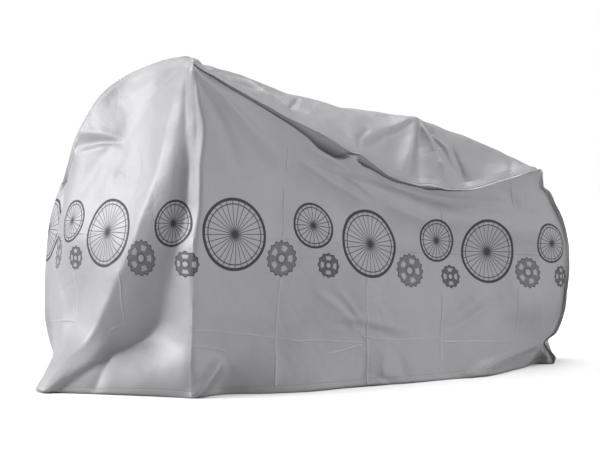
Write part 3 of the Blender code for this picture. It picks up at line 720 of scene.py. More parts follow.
@dataclass(frozen=True)
class Motif:
    """A round figure of the print: its place in the repeat and its radius."""

    centre: Spot
    radius: float

    def around(self, wiring: Wiring, x: Signal, y: Signal) -> tuple[Signal, Signal]:
        """Distance from the figure's centre, and angle round it.

        Args:
            wiring: the material's nodes.
            x: place along one repeat of the print.
            y: place up the print.

        Returns:
            The distance in metres and the angle in radians.
        """
        off_x = x - self.centre[0]
        off_y = y - self.centre[1]
        reach = wiring.math("SQRT", off_x * off_x + off_y * off_y)
        return reach, wiring.math("ARCTAN2", off_y, off_x)

    def ink(self, wiring: Wiring, reach: Signal, angle: Signal) -> Signal:
        """How dark the figure's ink is, 0 outside it; each figure has its own."""
        raise NotImplementedError


@dataclass(frozen=True)
class WheelMotif(Motif):
    """A plain spoked wheel."""

    tyre: float
    spokes: int
    rim_inset: float = 1.5
    rim_line: float = 0.0017
    spoke_line: float = 0.0011
    spoke_softness: float = 0.0010
    spoke_ink: float = 0.95
    spoke_end: float = 0.002
    hub_share: float = 0.085
    hub_rim: float = 0.002
    softness: float = 0.0012

    def ink(self, wiring: Wiring, reach: Signal, angle: Signal) -> Signal:
        """How dark the wheel's ink is.

        Args:
            wiring: the material's nodes.
            reach: distance from the wheel's centre.
            angle: angle round it.

        Returns:
            1 in the ink and 0 outside it.
        """
        tyre = wiring.line(abs(reach - self.radius), 0.5 * self.tyre, self.softness)
        rim_radius = self.radius - self.rim_inset * self.tyre
        rim = wiring.line(abs(reach - rim_radius), self.rim_line, self.softness)
        turn = abs(wiring.math("SINE", angle * (0.5 * self.spokes)))
        away = turn * reach * (2.0 / self.spokes)
        spoke = wiring.line(away, self.spoke_line, self.spoke_softness) * self.spoke_ink
        inside = wiring.line(reach, self.radius, self.spoke_end)
        hub = wiring.line(reach, self.hub_share * self.radius + self.hub_rim, self.softness)
        return wiring.highest(tyre, rim, spoke * inside, hub)


@dataclass(frozen=True)
class CogMotif(Motif):
    """A plain toothed cog: its teeth, holes and shade, and its sizes as shares of its radius."""

    teeth: int
    holes: int
    shade: float
    tooth_share: float = 0.055
    hole_middle: float = 0.60
    hole_half: float = 0.15
    hole_ends: Spot = (0.0, 0.15)
    bore: float = 0.20
    bore_ring: float = 0.27
    edge_inset: float = 0.002
    edge_line: float = 0.0016
    bore_line: float = 0.0014
    softness: float = 0.0012
    edge_softness: float = 0.0014

    def ink(self, wiring: Wiring, reach: Signal, angle: Signal) -> Signal:
        """How dark the cog's ink is.

        Args:
            wiring: the material's nodes.
            reach: distance from the cog's centre.
            angle: angle round it.

        Returns:
            The shade of the ink, 0 outside it.
        """
        tooth = wiring.math("COSINE", angle * self.teeth) * (self.tooth_share * self.radius)
        edge = reach - (self.radius + tooth)
        body = wiring.line(edge, 0.0, self.edge_softness)
        outline = wiring.line(abs(edge + self.edge_inset), self.edge_line, self.softness)
        from_ring = abs(reach - self.hole_middle * self.radius)
        ring = wiring.line(from_ring, self.hole_half * self.radius, self.edge_softness)
        turn = wiring.math("COSINE", angle * self.holes)
        holes = ring * wiring.stretch(turn, self.hole_ends)
        bore = wiring.line(reach, self.bore * self.radius, self.softness)
        from_bore = abs(reach - self.bore_ring * self.radius)
        bore_line = wiring.line(from_bore, self.bore_line, self.softness)
        flat = body * (1.0 - wiring.highest(holes, bore)) * self.shade
        return wiring.highest(flat, outline, bore_line)


@dataclass(frozen=True)
class PrintBand:
    """The printed band: plain wheels and cogs in staggered order, repeated along the film."""

    repeat: float = 0.500
    start: float = -0.115
    shift: float = 0.140
    motifs: tuple[Motif, ...] = (
        WheelMotif((0.000, 0.012), 0.106, 0.0095, 28),
        WheelMotif((0.285, 0.044), 0.068, 0.0075, 20),
        CogMotif((0.168, -0.062), 0.054, 16, 5, 0.62),
        CogMotif((0.338, -0.076), 0.038, 12, 4, 0.80),
    )
    specks: float = 260.0
    speck_ends: Spot = (0.24, 0.40)
    worn_share: float = 0.08

    def ink(self, wiring: Wiring, place: Signal) -> Signal:
        """How dark the print is.

        Args:
            wiring: the material's nodes.
            place: place on the flat-cut film, with the print's middle at height 0.

        Returns:
            1 where the ink is full and 0 on bare film.
        """
        along, up, _ = wiring.split(place)
        x = wiring.math("WRAP", along - self.shift, self.start + self.repeat, self.start)
        total = wiring.highest(
            *(motif.ink(wiring, *motif.around(wiring, x, up)) for motif in self.motifs)
        )
        specks = wiring.noise(place, self.specks, detail=2.0)
        worn = wiring.stretch(specks, self.speck_ends)
        return total * (1.0 - self.worn_share + self.worn_share * worn)


@dataclass(frozen=True)
class Finish:
    """A material of the cover, which each kind of film paints in its own way."""

    name: str

    def paint(self, wiring: Wiring, place: Signal) -> None:
        """Joins the material's nodes at this place on the cut; each finish has its own."""
        raise NotImplementedError

    def make(self) -> bpy.types.Material:
        """Builds the material.

        Returns:
            The material.
        """
        material = bpy.data.materials.new(self.name)
        wiring = Wiring(material)
        self.paint(wiring, wiring.cut_place())
        return material


@dataclass(frozen=True)
class SilverFilm(Finish):
    """Printed silver film: a satin, slightly metallic plastic sheet with packing creases, lighter
    along them as a painted highlight.

    Clouds, patches, crumples, swells, crinkles and grains are how many there are to the metre. A
    wander is how many waves to the metre a line has and how far it strays.
    """

    creases: tuple[Crease, ...] = ()
    silver: Colour = (0.200, 0.197, 0.208, 1.0)
    silver_light: Colour = (0.232, 0.229, 0.240, 1.0)
    # The lighter colour along the creases is a painted highlight of their ridges.
    painted_highlight: Colour = (0.300, 0.297, 0.308, 1.0)
    painted_highlight_share: float = 0.60
    ink: Colour = (0.009, 0.009, 0.010, 1.0)
    ink_share: float = 0.97
    clouds: float = 3.2
    roughness: float = 0.52
    cloud_roughness: float = 0.08
    grain_roughness: float = 0.03
    ink_roughness: float = 0.20
    metallic: float = 0.20
    crease_wander: Spot = (9.0, 0.012)
    crease_height: float = 0.0022
    crease_reach: float = 0.75
    crease_crest: float = 1.6
    crease_patches: float = 14.0
    crease_ends: Spot = (0.30, 0.62)
    faintest_crease: float = 0.35
    crumples: float = 13.0
    crumple_wander: Spot = (7.0, 0.05)
    crumple_facet: float = 0.16
    crumple_patches: float = 4.0
    crumple_ends: Spot = (0.42, 0.68)
    crumple_height: float = 0.004
    swells: float = 11.0
    swell_height: float = 0.0030
    crinkles: float = 60.0
    crinkle_height: float = 0.00030
    grains: float = 900.0
    grain_height: float = 0.00003
    print_band: PrintBand = PrintBand()
    grooves: tuple[Groove, ...] = (
        Groove("from_hem", 0.020, 0.0012, 0.0020, 0.0006),
        Groove("from_weld", 0.006, 0.0010, 0.0020, 0.0005),
    )

    def crease_relief(self, wiring: Wiring, place: Signal) -> Signal:
        """How far the packing creases stand out, which also sets how much painted highlight they
        carry.

        Args:
            wiring: the material's nodes.
            place: place on the flat-cut film.

        Returns:
            0 away from the creases and up to 1 on them.
        """
        wandering = wiring.wandering(place, self.crease_wander)
        ratios = []
        for crease in self.creases:
            run = (crease.end[0] - crease.start[0], crease.end[1] - crease.start[1], 0.0)
            square = run[0] ** 2 + run[1] ** 2
            offset = wiring.vector("SUBTRACT", wandering, (*crease.start, 0.0))
            step = tuple(part / square for part in run)
            share = wiring.vector("DOT_PRODUCT", offset, step, output="Value")
            held = wiring.scaled(run, wiring.math("ADD", share, 0.0, clamp=True))
            away = wiring.vector("SUBTRACT", offset, held)
            length = wiring.vector("LENGTH", away, output="Value")
            ratios.append(length * (self.crease_reach / crease.width))
        nearest = reduce(lambda first, second: wiring.math("MINIMUM", first, second), ratios)
        patches = wiring.noise(place, self.crease_patches, detail=1.0)
        strength = wiring.stretch(patches, self.crease_ends)
        depth = self.faintest_crease + (1.0 - self.faintest_crease) * strength
        return wiring.math("EXPONENT", nearest**self.crease_crest * -1.0) * depth

    def wrinkle_relief(self, wiring: Wiring, place: Signal) -> Signal:
        """How far the fine crumples stand out.

        Args:
            wiring: the material's nodes.
            place: place on the flat-cut film.

        Returns:
            The height, in metres.
        """
        bent = wiring.wandering(place, self.crumple_wander)
        inputs = {"Vector": bent, "Scale": self.crumples}
        cells = wiring.signal("ShaderNodeTexVoronoi", {"feature": "DISTANCE_TO_EDGE"}, inputs)
        facet = wiring.math("MINIMUM", cells, self.crumple_facet)
        patches = wiring.noise(place, self.crumple_patches, detail=1.0)
        patch = wiring.stretch(patches, self.crumple_ends)
        swell = wiring.noise(place, self.swells) * self.swell_height
        crinkle = wiring.noise(place, self.crinkles) * self.crinkle_height
        return facet * patch * self.crumple_height + swell + crinkle

    def paint(self, wiring: Wiring, place: Signal) -> None:
        """Joins the nodes of the printed film.

        Args:
            wiring: the material's nodes.
            place: place on the flat-cut film.
        """
        crease = self.crease_relief(wiring, place)
        ink = self.print_band.ink(wiring, place)
        cloud = wiring.noise(place, self.clouds)
        shade = wiring.colour_mix(cloud, self.silver, self.silver_light)
        # Painted highlight: the film's colour is lighter along the packing creases.
        painted_highlight = wiring.colour_mix(crease * self.painted_highlight_share, shade, self.painted_highlight)
        printed = wiring.colour_mix(ink * self.ink_share, painted_highlight, self.ink)
        grain = wiring.noise(wiring.object_place(), self.grains, detail=2.0)
        roughness = self.roughness + self.cloud_roughness * cloud
        roughness = roughness + self.grain_roughness * grain + self.ink_roughness * ink
        height = crease * self.crease_height + self.wrinkle_relief(wiring, place)
        for groove in self.grooves:
            away = abs(wiring.attribute(groove.edge) - groove.distance)
            height = height + wiring.line(away, groove.half_width, groove.softness) * -groove.depth
        height = height + grain * self.grain_height
        wiring.finish(printed, roughness, height, self.metallic * (1.0 - ink))


@dataclass(frozen=True)
class InsideFilm(Finish):
    """The film's plain back, a duller grey without print."""

    name: str = "film_inside"
    grey: Colour = (0.150, 0.150, 0.157, 1.0)
    grey_light: Colour = (0.180, 0.180, 0.187, 1.0)
    clouds: float = 5.0
    roughness: float = 0.52
    cloud_roughness: float = 0.06
    metallic: float = 0.12
    swells: float = 12.0
    swell_height: float = 0.003

    def paint(self, wiring: Wiring, place: Signal) -> None:
        """Joins the nodes of the film's back.

        Args:
            wiring: the material's nodes.
            place: place on the flat-cut film.
        """
        cloud = wiring.noise(place, self.clouds)
        colour = wiring.colour_mix(cloud, self.grey, self.grey_light)
        height = wiring.noise(place, self.swells, detail=4.0) * self.swell_height
        roughness = self.roughness + self.cloud_roughness * cloud
        wiring.finish(colour, roughness, height, self.metallic)


@dataclass(frozen=True)
class WeldedFilm(Finish):
    """Two films fused at an edge: a lighter strip with a fine ribbed seal, lighter partly for its
    double film and partly as a painted highlight of its lip.
    """

    name: str = "welded_film"
    # Lighter than the panels' film: partly the fused double film, partly a painted highlight of
    # the lip.
    silver: Colour = (0.235, 0.232, 0.243, 1.0)
    silver_light: Colour = (0.285, 0.282, 0.293, 1.0)
    clouds: float = 30.0
    roughness: float = 0.36
    cloud_roughness: float = 0.10
    metallic: float = 0.30
    seal_middle: float = 0.004
    seal_half: float = 0.0025
    seal_softness: float = 0.001
    rib_pitch: float = 0.0025
    rib_height: float = 0.00025
    swell_height: float = 0.0012

    def paint(self, wiring: Wiring, place: Signal) -> None:
        """Joins the nodes of the welded edges.

        Args:
            wiring: the material's nodes.
            place: place along the weld and across the fin.
        """
        along, up, _ = wiring.split(place)
        rib = wiring.math("SINE", along * (2.0 * math.pi / self.rib_pitch))
        sealed = wiring.line(abs(up - self.seal_middle), self.seal_half, self.seal_softness)
        cloud = wiring.noise(place, self.clouds)
        colour = wiring.colour_mix(cloud, self.silver, self.silver_light)
        height = rib * sealed * self.rib_height + cloud * self.swell_height
        roughness = self.roughness + self.cloud_roughness * cloud
        wiring.finish(colour, roughness, height, self.metallic)


# ----------------------------------------------------------------------------- geometry

WAVE_COUNT = 28                     # how many waves make up an unevenness
BEND = 0.5                          # how far their crests bend, in radians
BEND_ALONG, BEND_ACROSS = 2.3, 1.7  # how quickly they bend along and down the panel
TURN_SHARES = ((-1.0, 0.12), (-0.5, 0.23), (0.0, 0.30), (0.5, 0.23), (1.0, 0.12))
SPACING_SAMPLES = 2001
SECTION_SAMPLES = 201


def slopes(knots: np.ndarray, values: np.ndarray) -> np.ndarray:
    """Slopes of a smooth curve through the knots that never overshoots them.

    Args:
        knots: places of the knots.
        values: one row of values for each knot.

    Returns:
        One row of slopes for each knot.
    """
    steps = np.diff(knots)[:, None]
    chords = np.diff(values, axis=0) / steps
    inner = np.where(chords[:-1] * chords[1:] > 0, 1.0, 0.0)
    weight_a = 2 * steps[1:] + steps[:-1]
    weight_b = steps[1:] + 2 * steps[:-1]
    safe_a, safe_b = (np.where(chord == 0, 1.0, chord) for chord in (chords[:-1], chords[1:]))
    weighted = weight_a / safe_a + weight_b / safe_b + 1e-12 * (inner == 0)
    return np.vstack([chords[:1], (weight_a + weight_b) / weighted * inner, chords[-1:]])


def smooth(knots: Sequence[float], values: np.ndarray, places: np.ndarray) -> np.ndarray:
    """Values of the smooth curve through the knots at these places.

    Args:
        knots: places of the knots.
        values: one row of values for each knot.
        places: where the curve is read.

    Returns:
        One row of values for each place.
    """
    knots = np.asarray(knots, float)
    values = np.asarray(values, float)
    places = np.clip(np.asarray(places, float), knots[0], knots[-1])
    slope = slopes(knots, values)
    cell = np.clip(np.searchsorted(knots, places, side="right") - 1, 0, len(knots) - 2)
    width = (knots[cell + 1] - knots[cell])[:, None]
    t = (places - knots[cell])[:, None] / width
    return (
        values[cell] * (1 + 2 * t) * (1 - t) ** 2
        + slope[cell] * width * t * (1 - t) ** 2
        + values[cell + 1] * t**2 * (3 - 2 * t)
        + slope[cell + 1] * width * t**2 * (t - 1)
    )


def amounts(knots: Sequence[Knot], places: np.ndarray) -> np.ndarray:
    """Amounts of the smooth curve through a table's knots at these places."""
    rows = np.array(knots)
    return smooth(rows[:, 0], rows[:, 1:], places.ravel()).reshape(places.shape)


def unit(vectors: np.ndarray) -> np.ndarray:
    """The vectors' directions, each one metre long."""
    return vectors / np.linalg.norm(vectors, axis=-1, keepdims=True)


def normals_of(points: np.ndarray) -> np.ndarray:
    """Unit normals of a grid of points, as [i][j][xyz], along d(i) x d(j)."""
    return unit(np.cross(np.gradient(points, axis=0), np.gradient(points, axis=1)))


def down_from_top(points: np.ndarray) -> np.ndarray:
    """Distance of each grid point from the top edge, down its section."""
    steps = np.diff(points, axis=1, prepend=points[:, :1])
    return np.cumsum(np.linalg.norm(steps, axis=2), axis=1)


def along_line(points: np.ndarray) -> np.ndarray:
    """Distance of each point of a line from its start."""
    steps = np.linalg.norm(np.diff(points, axis=0), axis=1)
    return np.concatenate([[0.0], np.cumsum(steps)])


def softened(values: np.ndarray, times: int) -> np.ndarray:
    """Rounds off the kinks of a grid's values along the panel.

    Args:
        values: the values, as [along][down][...].
        times: how often each is averaged with its neighbours.

    Returns:
        The softened values.
    """
    for _ in range(times):
        inner = 0.25 * values[:-2] + 0.5 * values[1:-1] + 0.25 * values[2:]
        values = np.concatenate([values[:1], inner, values[-1:]])
    return values


def fold_height(fold: Fold, first: np.ndarray, second: np.ndarray) -> np.ndarray:
    """How far one fold stands out at each place of its panel.

    Args:
        fold: the fold.
        first: distance along the panel at each point.
        second: the fold's other coordinate at each point.

    Returns:
        The height at each point, in metres.
    """
    path = np.array(fold.path, float)
    lengths = np.linalg.norm(np.diff(path, axis=0), axis=1)
    starts = along_line(path)
    best = np.full(first.shape, np.inf)
    travelled = np.zeros(first.shape)
    for tail, tip, length, start in zip(path, path[1:], lengths, starts):
        run = tip - tail
        reached = ((first - tail[0]) * run[0] + (second - tail[1]) * run[1]) / length**2
        part = np.clip(reached, 0.0, 1.0)
        off = np.hypot(first - tail[0] - part * run[0], second - tail[1] - part * run[1])
        share = (start + part * length) / starts[-1]
        ratio = off / (fold.start_width + (fold.end_width - fold.start_width) * share)
        nearer = ratio < best
        best = np.where(nearer, ratio, best)
        travelled = np.where(nearer, share, travelled)
    fade = np.sqrt(np.clip(np.sin(np.pi * travelled), 0.0, 1.0))
    return fold.out * fade * np.exp(-(best**fold.crest))


def unevenness(waves: Waves, first: np.ndarray, second: np.ndarray) -> np.ndarray:
    """Gentle seeded unevenness, as a sum of waves in all directions.

    Args:
        waves: their seed, lengths and height.
        first: distance along the panel.
        second: distance down the panel.

    Returns:
        The height at each point.
    """
    rng = np.random.default_rng(waves.seed)
    total = np.zeros(first.shape)
    weight = 0.0
    for _ in range(WAVE_COUNT):
        length = waves.shortest * (waves.longest / waves.shortest) ** rng.random()
        turn = rng.random() * math.pi
        phase = rng.random() * 2.0 * math.pi
        bend = BEND * np.sin((first * BEND_ALONG + second * BEND_ACROSS) + phase)
        way = first * math.cos(turn) + second * math.sin(turn)
        total += length * np.sin(2.0 * math.pi / length * way + phase + bend)
        weight += length**2
    return waves.height * total / math.sqrt(0.5 * weight)


def zigzag(places: np.ndarray, creases: Sequence[Knot], rise: float) -> np.ndarray:
    """A shallow zigzag that turns at each packing crease.

    Args:
        places: one coordinate of each point.
        creases: where each crease is, and 1 where it stands out or -1 where it goes in.
        rise: how far a crease is from the mean.

    Returns:
        The height at each point.
    """
    knots, signs = np.array(creases, float).T
    return rise * sum(
        weight * np.interp(places + share * PACKED_ROUNDING, knots, signs)
        for share, weight in TURN_SHARES
    )


def spaced(spacing: Sequence[Knot], cells: int) -> np.ndarray:
    """Places from the first knot to the last, set as far apart as the table says.

    Args:
        spacing: places, each with its relative spacing.
        cells: how many cells there are.

    Returns:
        The places, cells + 1 of them.
    """
    knots, apart = np.array(spacing).T
    fine = np.linspace(knots[0], knots[-1], SPACING_SAMPLES)
    crowd = np.cumsum(1.0 / np.interp(fine, knots, apart))
    crowd = (crowd - crowd[0]) / (crowd[-1] - crowd[0])
    return np.interp(np.linspace(0.0, 1.0, cells + 1), crowd, fine)


def drawn_in(first: np.ndarray, points: np.ndarray) -> np.ndarray:
    """Draws the rear weld in towards the front.

    Args:
        first: distance along the panel.
        points: the panel's points, as [along][down][xyz].

    Returns:
        The moved points.
    """
    share = (first - REAR_START) / (NEAR_SECTIONS[-1].along - REAR_START)
    moved = points.copy()
    moved[:, :, 0] -= amounts(REAR_ROWS, points[:, :, 2]) * np.clip(share, 0.0, 1.0) ** 2
    return moved


def seam_rise(along: np.ndarray) -> np.ndarray:
    """How far the small kinks raise the top weld at these places along it."""
    inside = (along >= SEAM_ROWS[0].place) & (along <= SEAM_ROWS[-1].place)
    return np.where(inside, amounts(SEAM_ROWS, along), 0.0)


def edge_fade(places: np.ndarray, reach: float) -> np.ndarray:
    """0 at both ends of a list of places and 1 further than this reach inside them."""
    share = np.clip(np.minimum(places - places[0], places[-1] - places) / reach, 0.0, 1.0)
    return share**2 * (3 - 2 * share)


@dataclass
class Panel:
    """One panel of the bag: a grid of points, its folds and its sheet of film.

    facing is 1 where the grid's own normals point out of the bag and -1 where they point in, and
    print_step is how far down a section the print's middle lies. The folds fade out within
    weld_hold of the top weld and end_hold of both ends.
    """

    side: Side
    facing: float
    print_step: float
    folds: tuple[Fold, ...]
    waves: tuple[Waves, ...]
    spacing: tuple[Knot, ...] = SPACING
    down_spacing: tuple[Knot, ...] = DOWN_SPACING
    columns: int = 288
    rows: int = 158
    thickness: float = 0.0010
    weld_hold: float = 0.03
    end_hold: float = 0.05
    floor_gap: float = 0.0005

    def places(self) -> tuple[np.ndarray, np.ndarray]:
        """Places of the grid along the panel and down it."""
        return spaced(self.spacing, self.columns), spaced(self.down_spacing, self.rows)

    def base(self, along: np.ndarray, down: np.ndarray) -> np.ndarray:
        """The panel without folds; each panel has its own."""
        raise NotImplementedError

    def second(self, base: np.ndarray) -> np.ndarray:
        """The folds' other coordinate at each point; each panel has its own."""
        raise NotImplementedError

    def packed(self, first: np.ndarray, second: np.ndarray) -> list[np.ndarray]:
        """How far the packing creases stand out, as heights to be added up."""
        return [zigzag(first, PACKED_ALONG, PACKED_RISE)]

    def shift(self, first: np.ndarray, base: np.ndarray) -> np.ndarray:
        """How far a pleat moves each point sideways; none unless a panel has one."""
        return np.zeros(base.shape)

    def pocket(self, first: np.ndarray, travelled: np.ndarray) -> np.ndarray:
        """How far the film is drawn in under the top weld; not at all unless a panel is."""
        return np.zeros(first.shape)

    def outward(self, points: np.ndarray) -> np.ndarray:
        """Unit normals that point out of the bag."""
        return self.facing * normals_of(points)

    def relief(self, first: np.ndarray, base: np.ndarray) -> np.ndarray:
        """How far the folds, creases and unevenness stand out.

        Args:
            first: distance along the panel.
            base: the panel without folds.

        Returns:
            The height at each point.
        """
        second = self.second(base)
        height = sum(fold_height(fold, first, second) for fold in self.folds)
        for packed in self.packed(first, second):
            height = height + packed
        for waves in self.waves:
            height = height + unevenness(waves, first, second)
        return height

    def points(self) -> np.ndarray:
        """Points of the finished panel, heights above the floor.

        Returns:
            The grid, as [along][down][xyz].
        """
        along, down = self.places()
        base = self.base(along, down)
        first = np.repeat(along[:, None], len(down), axis=1)
        height = self.relief(first, base)
        travelled = down_from_top(base)
        weld_fade = np.clip(travelled / self.weld_hold, 0.0, 1.0)
        fade = (weld_fade * edge_fade(along, self.end_hold)[:, None])[:, :, None]
        moved = self.outward(base) * height[:, :, None] + self.shift(first, base)
        points = base + moved * fade
        points -= self.outward(base) * self.pocket(first, travelled)[:, :, None]
        points[:, :, 2] += seam_rise(along)[:, None] * np.exp(-travelled / SEAM_REACH)
        points[:, :, 2] = np.maximum(points[:, :, 2], self.floor_gap)
        return drawn_in(first, points)

    def build(self, outer: bpy.types.Material, inner: bpy.types.Material) -> bpy.types.Object:
        """Builds the sheet of film.

        Args:
            outer: the printed side's material.
            inner: the material of the back.

        Returns:
            The finished piece.
        """
        along, down = self.places()
        travelled = down_from_top(self.base(along, down))
        print_row = np.array([np.interp(self.print_step, down, column) for column in travelled])
        sheet = grid_object(f"{self.side.value}_film", self.points(), self.facing < 0)
        first = np.repeat(along[:, None], len(down), axis=1)
        put_uv(sheet, np.stack([first, print_row[:, None] - travelled], axis=2))
        put_number(sheet, "from_weld", travelled)
        put_number(sheet, "from_hem", travelled[:, -1:] - travelled)
        sheet.data.materials.append(outer)
        sheet.data.materials.append(inner)
        thicken(sheet, self.thickness, 1.0, 1)
        return sheet


@dataclass
class NearPanel(Panel):
    """The panel that faces the viewer and wraps round the front."""

    side: Side = Side.NEAR
    facing: float = -1.0
    print_step: float = NEAR_STEPS[1]
    folds: tuple[Fold, ...] = NEAR_FOLDS + NEAR_SMALL_FOLDS
    waves: tuple[Waves, ...] = (
        Waves(11, 0.12, 0.45, 0.0016),
        Waves(12, 0.04, 0.10, 0.0002),
    )
    sections: tuple[NearSection, ...] = NEAR_SECTIONS
    pleat: tuple[PleatRow, ...] = PLEAT_ROWS
    pleat_softening: int = 4

    def controls(self) -> tuple[np.ndarray, np.ndarray]:
        """The sections as numbers.

        Returns:
            Their places along the panel, and the levels as [section][level][xyz].
        """
        levels = [
            (row.seam, row.print, (*row.knee, KNEE_HEIGHT), (*row.hem, 0.0))
            for row in self.sections
        ]
        return np.array([row.along for row in self.sections]), np.array(levels)

    def base(self, along: np.ndarray, down: np.ndarray) -> np.ndarray:
        """Points of the panel without folds.

        Args:
            along: places along the panel.
            down: places down its sections, from 0 to 1.

        Returns:
            The grid, as [along][down][xyz].
        """
        places, levels = self.controls()
        rows = smooth(places, levels.reshape(len(places), -1), along)
        return np.array([smooth(NEAR_STEPS, row, down) for row in rows.reshape(len(along), -1, 3)])

    def second(self, base: np.ndarray) -> np.ndarray:
        """The folds' other coordinate, here the height above the floor."""
        return base[:, :, 2]

    def packed(self, first: np.ndarray, second: np.ndarray) -> list[np.ndarray]:
        """How far the packing creases stand out, here also those that run level."""
        level = zigzag(second - PRINT_MIDDLE, PACKED_UP, PACKED_UP_RISE)
        return [*super().packed(first, second), level]

    def pleat_lines(self) -> np.ndarray:
        """Plan points of the pleat's ridge, valley and corner at each row's height.

        Returns:
            The points, as [row][line][xy].
        """
        down = np.linspace(0.0, 1.0, SECTION_SAMPLES)
        way = np.array(PLEAT_WAY)
        lines = []
        for row in self.pleat:
            columns = self.base(np.array([row.ridge, row.valley, row.corner]), down)
            plan = np.array([
                [np.interp(-row.height, -column[:, 2], column[:, k]) for k in (0, 1)]
                for column in columns
            ])
            plan[0] -= row.ridge_out * way
            plan[1] += row.valley_in * way
            lines.append(plan)
        return np.array(lines)

    def shift(self, first: np.ndarray, base: np.ndarray) -> np.ndarray:
        """How far the long pleat moves each point in plan.

        Args:
            first: distance along the panel.
            base: the panel without folds.

        Returns:
            The shift, as [along][down][xyz].
        """
        rows = np.array(self.pleat)
        lines = self.pleat_lines().reshape(len(rows), -1)
        height = base[:, :, 2]
        shape = smooth(rows[:, 0], np.hstack([rows[:, 1:], lines]), height.ravel())
        shape = shape.reshape(*height.shape, -1)
        # A row's own five numbers come first, and then the three lines' plan points.
        ridge, valley, corner, ridge_out = (shape[:, :, k] for k in range(4))
        ridge_plan, valley_plan, corner_plan = (shape[:, :, k:k + 2] for k in (5, 7, 9))
        share = np.clip((first - ridge) / (valley - ridge), 0.0, 1.0)[:, :, None]
        crown = -PLEAT_CROWN * np.sin(np.pi * share) * np.array(PLEAT_WAY)
        target = ridge_plan + share * (valley_plan - ridge_plan) + crown
        share = np.clip((first - valley) / (corner - valley), 0.0, 1.0)[:, :, None]
        beyond = valley_plan + share * (corner_plan - valley_plan)
        target = np.where((first < valley)[:, :, None], target, beyond)
        bulge = -ridge_out * np.clip(1.0 - (ridge - first) / PLEAT_REACH, 0.0, 1.0) ** 2
        beside = bulge[:, :, None] * np.array(PLEAT_WAY)
        moved = np.where((first < ridge)[:, :, None], beside, target - base[:, :, :2])
        moved = np.where((first > corner)[:, :, None], 0.0, moved)
        moved = softened(moved, self.pleat_softening)
        return np.concatenate([moved, np.zeros((*first.shape, 1))], axis=2)

    def pocket(self, first: np.ndarray, travelled: np.ndarray) -> np.ndarray:
        """How far the film is drawn in under the top weld, which overhangs it.

        Args:
            first: distance along the panel.
            travelled: distance down from the top weld.

        Returns:
            The depth at each point.
        """
        reach = amounts(POCKET_ROWS, first)
        share = travelled / reach
        back = np.clip(1.0 - (share - 1.0) / POCKET_FLOOR, 0.0, 1.0)
        return POCKET_SLOPE * reach * np.minimum(share, 1.0) * back * back * (3.0 - 2.0 * back)


@dataclass
class FarPanel(Panel):
    """The panel that covers the top and the side away from the viewer."""

    side: Side = Side.FAR
    facing: float = 1.0
    print_step: float = FAR_STEPS[4]
    folds: tuple[Fold, ...] = FAR_FOLDS + FAR_SMALL_FOLDS
    waves: tuple[Waves, ...] = (
        Waves(21, 0.12, 0.45, 0.0020),
        Waves(22, 0.04, 0.10, 0.0003),
    )
    spacing: tuple[Knot, ...] = FAR_SPACING
    down_spacing: tuple[Knot, ...] = FAR_DOWN_SPACING
    sections: tuple[FarSection, ...] = FAR_SECTIONS
    near: NearPanel = field(default_factory=NearPanel)

    def base(self, along: np.ndarray, down: np.ndarray) -> np.ndarray:
        """Points of the panel without folds; its top edge and both ends are the near panel's.

        Args:
            along: places along the panel.
            down: places down its sections, from 0 to 1.

        Returns:
            The grid, as [along][down][xyz].
        """
        places, levels = self.near.controls()
        ends = self.near.base(places[[0, -1]], np.array(FAR_STEPS))
        starts = [row.seam_along for row in self.sections]
        middle = [
            (seam, *row[1:5], (*row.knee, KNEE_HEIGHT), (*row.hem, 0.0))
            for seam, row in zip(smooth(places, levels[:, 0], starts), self.sections)
        ]
        knots = [places[0], *starts, places[-1]]
        controls = np.array([ends[0], *np.array(middle), ends[1]])
        rows = smooth(knots, controls.reshape(len(knots), -1), along)
        rows = rows.reshape(len(along), -1, 3)
        rows[:, 0] = smooth(places, levels[:, 0], along)
        points = np.array([smooth(FAR_STEPS, row, down) for row in rows])
        points[[0, -1]] = self.near.base(places[[0, -1]], down)
        return points

    def second(self, base: np.ndarray) -> np.ndarray:
        """The folds' other coordinate, here the distance from the top weld."""
        return down_from_top(base)


